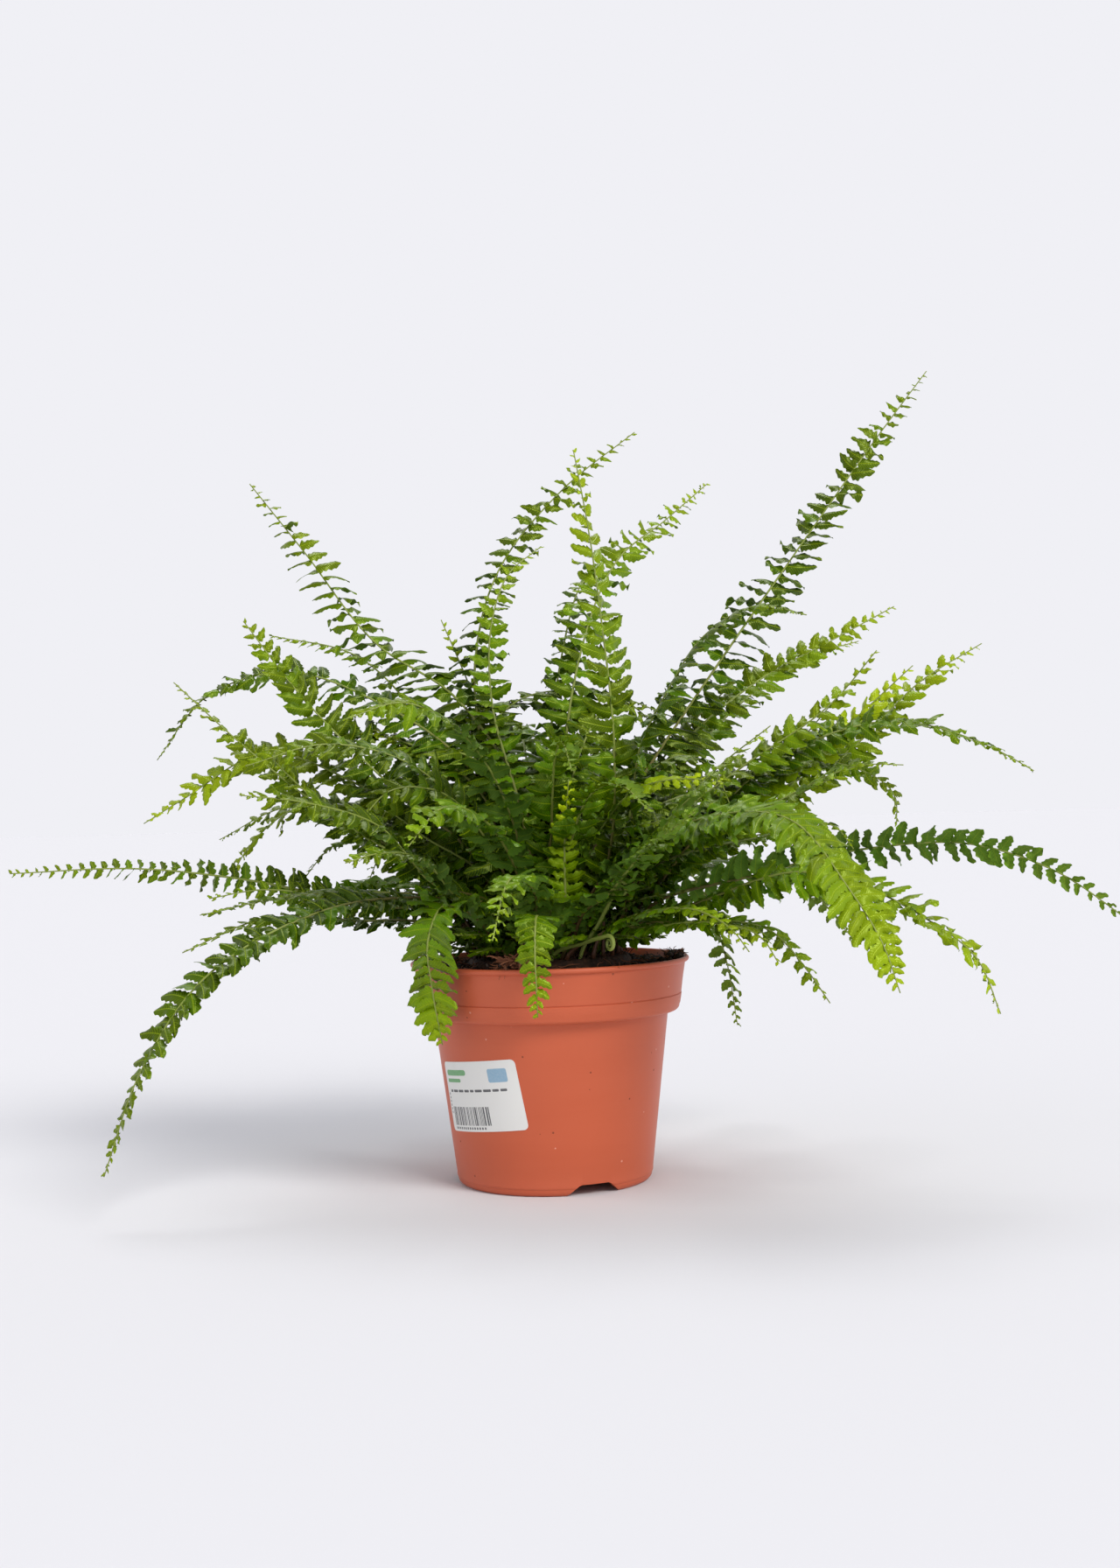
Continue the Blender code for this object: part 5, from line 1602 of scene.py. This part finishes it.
def rounded_outline(width, height, corner, steps):
    """Half-height of a rounded rectangle at places across it."""
    places = []
    half = width / 2.0
    for step in range(steps + 1):
        turn = math.radians(90.0 * step / steps)
        across = -half + corner * (1.0 - math.cos(turn))
        places.append((across, height / 2.0 - corner * (1.0 - math.sin(turn))))
    columns = max(2, round((width - 2.0 * corner) / (1.2 * MM)))
    for column in range(1, columns):
        places.append((-half + corner + (width - 2.0 * corner) * column / columns, height / 2.0))
    places += [(-across, reach) for across, reach in reversed(places[: steps + 1])]
    return places


def curved_patch(centre, width, height, corner, low, high):
    """Points and faces of a thin rounded patch laid on the pot's side."""
    rows = 8
    points = []
    columns = rounded_outline(width, height, corner, 5)
    for out in (low, high):
        for across, reach in columns:
            for row in range(rows + 1):
                up = -reach + 2.0 * reach * row / rows
                points.append(label_point(centre[0] + across, centre[1] + up, out))
    count = rows + 1
    layer = len(columns) * count
    faces = []
    for column in range(len(columns) - 1):
        for row in range(rows):
            start = column * count + row
            quad = (start, start + count, start + count + 1, start + 1)
            faces.append(quad)
            faces.append(tuple(layer + index for index in reversed(quad)))
        for row in (0, rows):
            start = column * count + row
            faces.append((start, start + count, layer + start + count, layer + start))
    for column in (0, len(columns) - 1):
        for row in range(rows):
            start = column * count + row
            faces.append((start, start + 1, layer + start + 1, layer + start))
    return points, faces


def paper_material(settings):
    """Coated label paper: smooth white facing with a satin coat, very slightly cockled."""
    made, shader, add = new_material("coated label paper")
    place = add("TexCoord", out="Object")
    cockle = add("TexNoise", (place, per_metre(22.22), 2.0, 0.55))
    soil = add("TexNoise", (place, per_metre(14.29), 4.0, 0.55))
    soil = add("Math", (soil, 1.2, -0.75), operation="MULTIPLY_ADD", use_clamp=True)
    colour = add("Mix", (soil, settings.paper, linear("#C9C6BE")), data_type="RGBA")
    dress(shader, colour, 0.42, cockle, 0.4 * MM)
    return made


def ink_material(name, colour):
    """Flexo ink on label paper: a matt film, a little thin in places."""
    made, shader, add = new_material(name)
    patchy = add("TexNoise", (add("TexCoord", out="Object"), per_metre(1.111), 2.0, 0.55))
    patchy = add("Math", (patchy, 0.25), operation="MULTIPLY")
    dress(shader, add("Mix", (patchy, linear(colour), linear("#E4E4E0")), data_type="RGBA"), 0.5)
    return made


def dark_print(settings):
    """Blocks in place of the words, the stripe block and the small figures below and beside it."""
    rng = random.Random(21)
    blocks = []
    across, end, up, tall, corner = DASH_ROW
    while across < end:
        width = rng.uniform(*DASH_WIDTHS)
        blocks.append((across + width / 2.0, up, width, tall, corner))
        across += width + DASH_GAP
    across = STRIPES_FROM
    for _ in range(settings.bars):
        width = rng.choice(STRIPE_WIDTHS)
        up, tall, corner = STRIPE_SHAPE
        blocks.append((across + width / 2.0, up, width, tall, corner))
        across += width + rng.choice(STRIPE_GAPS)
    blocks += [(-25.5 + 2.2 * step, -18.8, 1.2, 1.4, 0.3) for step in range(LOW_BLOCKS)]
    blocks += [(-29.0, 1.5 - 2.2 * step, 1.0, 1.4, 0.3) for step in range(EDGE_BLOCKS)]
    return blocks


def printed(blocks):
    """Points and faces of blocks of ink on the label, from their sizes in millimetres."""
    patches = []
    for block in blocks:
        across, up, width, height, corner = (size * MM for size in block)
        patches.append(curved_patch((across, up), width, height, corner, PAPER_HIGH, INK_HIGH))
    return gather(patches)


class FERN_OT_label(bpy.types.Operator):
    """The price label with plain printed blocks in place of words"""

    bl_idname = "fern.label"
    bl_label = "Price label"

    def execute(self, context):
        settings = context.scene.fern_label
        sheet = curved_patch((0.0, 0.0), LABEL_WIDTH, LABEL_HEIGHT, LABEL_CORNER, PAPER_LOW, PAPER_HIGH)
        label = solid_from("label_sheet", *sheet, [paper_material(settings)])
        smooth(label, 40.0)
        inks = (
            ("label_print_green", GREEN_PRINT, ink_material("green label ink", "#58A05C")),
            ("label_print_blue", BLUE_PRINT, ink_material("blue label ink", "#7FA9C4")),
            ("label_print_dark", dark_print(settings), ink_material("black label ink", "#33343A")),
        )
        pieces = [label]
        for name, blocks, ink in inks:
            pieces.append(solid_from(name, *printed(blocks), [ink]))
        settle("price_label", "label_paper", *pieces)
        return {"FINISHED"}


# Stage


def cove_material(settings):
    """Painted studio cove: matt pale emulsion with the faintest roller mottle."""
    made, shader, add = new_material("matt studio paint")
    mottle = add("TexNoise", (add("TexCoord", out="Object"), per_metre(333.3), 2.0, 0.55))
    mottle = add("Math", (mottle, 0.06), operation="MULTIPLY")
    dress(shader, add("Mix", (mottle, settings.floor, linear("#D4D4D8")), data_type="RGBA"), 0.95)
    shader.inputs["Specular IOR Level"].default_value = 0.0
    return made


def soft_light(name, towards, spread, strength, colour):
    """A far, broad lamp: the direction it stands in, how wide it looks in degrees, its strength."""
    lamp = bpy.data.lights.new(name, "SUN")
    lamp.angle = math.radians(spread)
    lamp.energy = strength
    lamp.color = linear(colour)[:3]
    made = bpy.data.objects.new(name, lamp)
    bpy.context.scene.collection.objects.link(made)
    made.location = Vector(towards).normalized() * 3.0
    made.rotation_euler = Vector(towards).to_track_quat("Z", "Y").to_euler()
    return made


def floor_disc():
    """Points and faces of a flat round floor whose rings widen outwards."""
    points = [(0.0, 0.0, 0.0)]
    for ring in range(1, FLOOR_RINGS + 1):
        reach = FLOOR_RADIUS * (ring / FLOOR_RINGS) ** 2
        for side in range(FLOOR_SIDES):
            turn = 2.0 * math.pi * side / FLOOR_SIDES
            points.append((reach * math.cos(turn), reach * math.sin(turn), 0.0))
    middle = [(0, 1 + side, 1 + (side + 1) % FLOOR_SIDES) for side in range(FLOOR_SIDES)]
    walls, _ = tube_faces(FLOOR_RINGS, FLOOR_SIDES)
    return points, middle + [tuple(1 + index for index in reversed(face)) for face in walls]


def studio_air(settings):
    """Pale air at eye level that darkens overhead, so that the top of the plant isn't washed out."""
    world = bpy.data.worlds.new("studio air")
    world.use_nodes = True
    add = partial(node, world.node_tree)
    height = add("SeparateXYZ", (add("TexCoord", out="Generated"),), out="Z")
    above = add("Math", (height, 4.0, -1.7), operation="MULTIPLY_ADD", use_clamp=True)
    above = add("MapRange", (above,), interpolation_type="SMOOTHSTEP")
    air = add("Mix", (above, settings.backdrop, linear("#8F9096")), data_type="RGBA")
    world.node_tree.links.new(air, world.node_tree.nodes["Background"].inputs["Color"])
    return world


def studio_camera(settings):
    """The camera at eye level in front of the pot."""
    data = bpy.data.cameras.new("studio_camera")
    data.lens = settings.lens
    data.sensor_width = 36.0
    camera = bpy.data.objects.new("studio_camera", data)
    bpy.context.scene.collection.objects.link(camera)
    look = Matrix.Translation((settings.aside, -settings.distance, settings.height))
    look = look @ Matrix.Rotation(math.radians(90.0) + settings.pitch, 4, "X")
    camera.matrix_world = look @ Matrix.Rotation(-settings.roll, 4, "Z")
    return camera


class FERN_OT_stage(bpy.types.Operator):
    """Pale cove, soft studio lamps and the camera"""

    bl_idname = "fern.stage"
    bl_label = "Stage"

    def execute(self, context):
        settings = context.scene.fern_stage
        cove = solid_from("studio_floor", *floor_disc(), [cove_material(settings)])
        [soft_light(*lamp) for lamp in LAMPS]
        context.scene.world = studio_air(settings)
        context.scene.camera = studio_camera(settings)
        context.scene.view_settings.view_transform = "Standard"
        return {"FINISHED"}


class FERN_PT_panel(bpy.types.Panel):
    """Lists the pieces of the potted fern"""

    bl_idname = "FERN_PT_panel"
    bl_label = "Potted Fern"
    bl_space_type = "VIEW_3D"
    bl_region_type = "UI"
    bl_category = "Potted Fern"

    def draw(self, context):
        layout = self.layout
        for name, group in SETTINGS.items():
            box = layout.box()
            settings = getattr(context.scene, name)
            for key in group.__annotations__:
                box.prop(settings, key)
        for operator in OPERATORS:
            layout.operator(operator.bl_idname)


SETTINGS = {
    "fern_pot": FernPotSettings,
    "fern_compost": FernCompostSettings,
    "fern_fronds": FernFrondSettings,
    "fern_label": FernLabelSettings,
    "fern_stage": FernStageSettings,
}
OPERATORS = (
    FERN_OT_pot,
    FERN_OT_compost,
    FERN_OT_crown,
    FERN_OT_label,
    FERN_OT_fronds,
    FERN_OT_low_fronds,
    FERN_OT_croziers,
    FERN_OT_stage,
)
CLASSES = (*SETTINGS.values(), *OPERATORS, FERN_PT_panel)


def register():
    for each in CLASSES:
        bpy.utils.register_class(each)
    for name, group in SETTINGS.items():
        setattr(bpy.types.Scene, name, bpy.props.PointerProperty(type=group))


def unregister():
    for name in SETTINGS:
        delattr(bpy.types.Scene, name)
    for each in reversed(CLASSES):
        bpy.utils.unregister_class(each)


def main():
    register()
    bpy.ops.fern.pot()
    bpy.ops.fern.compost()
    bpy.ops.fern.crown()
    bpy.ops.fern.label()
    bpy.ops.fern.fronds()
    bpy.ops.fern.low_fronds()
    bpy.ops.fern.croziers()
    bpy.ops.fern.stage()


if __name__ == "__main__":
    main()
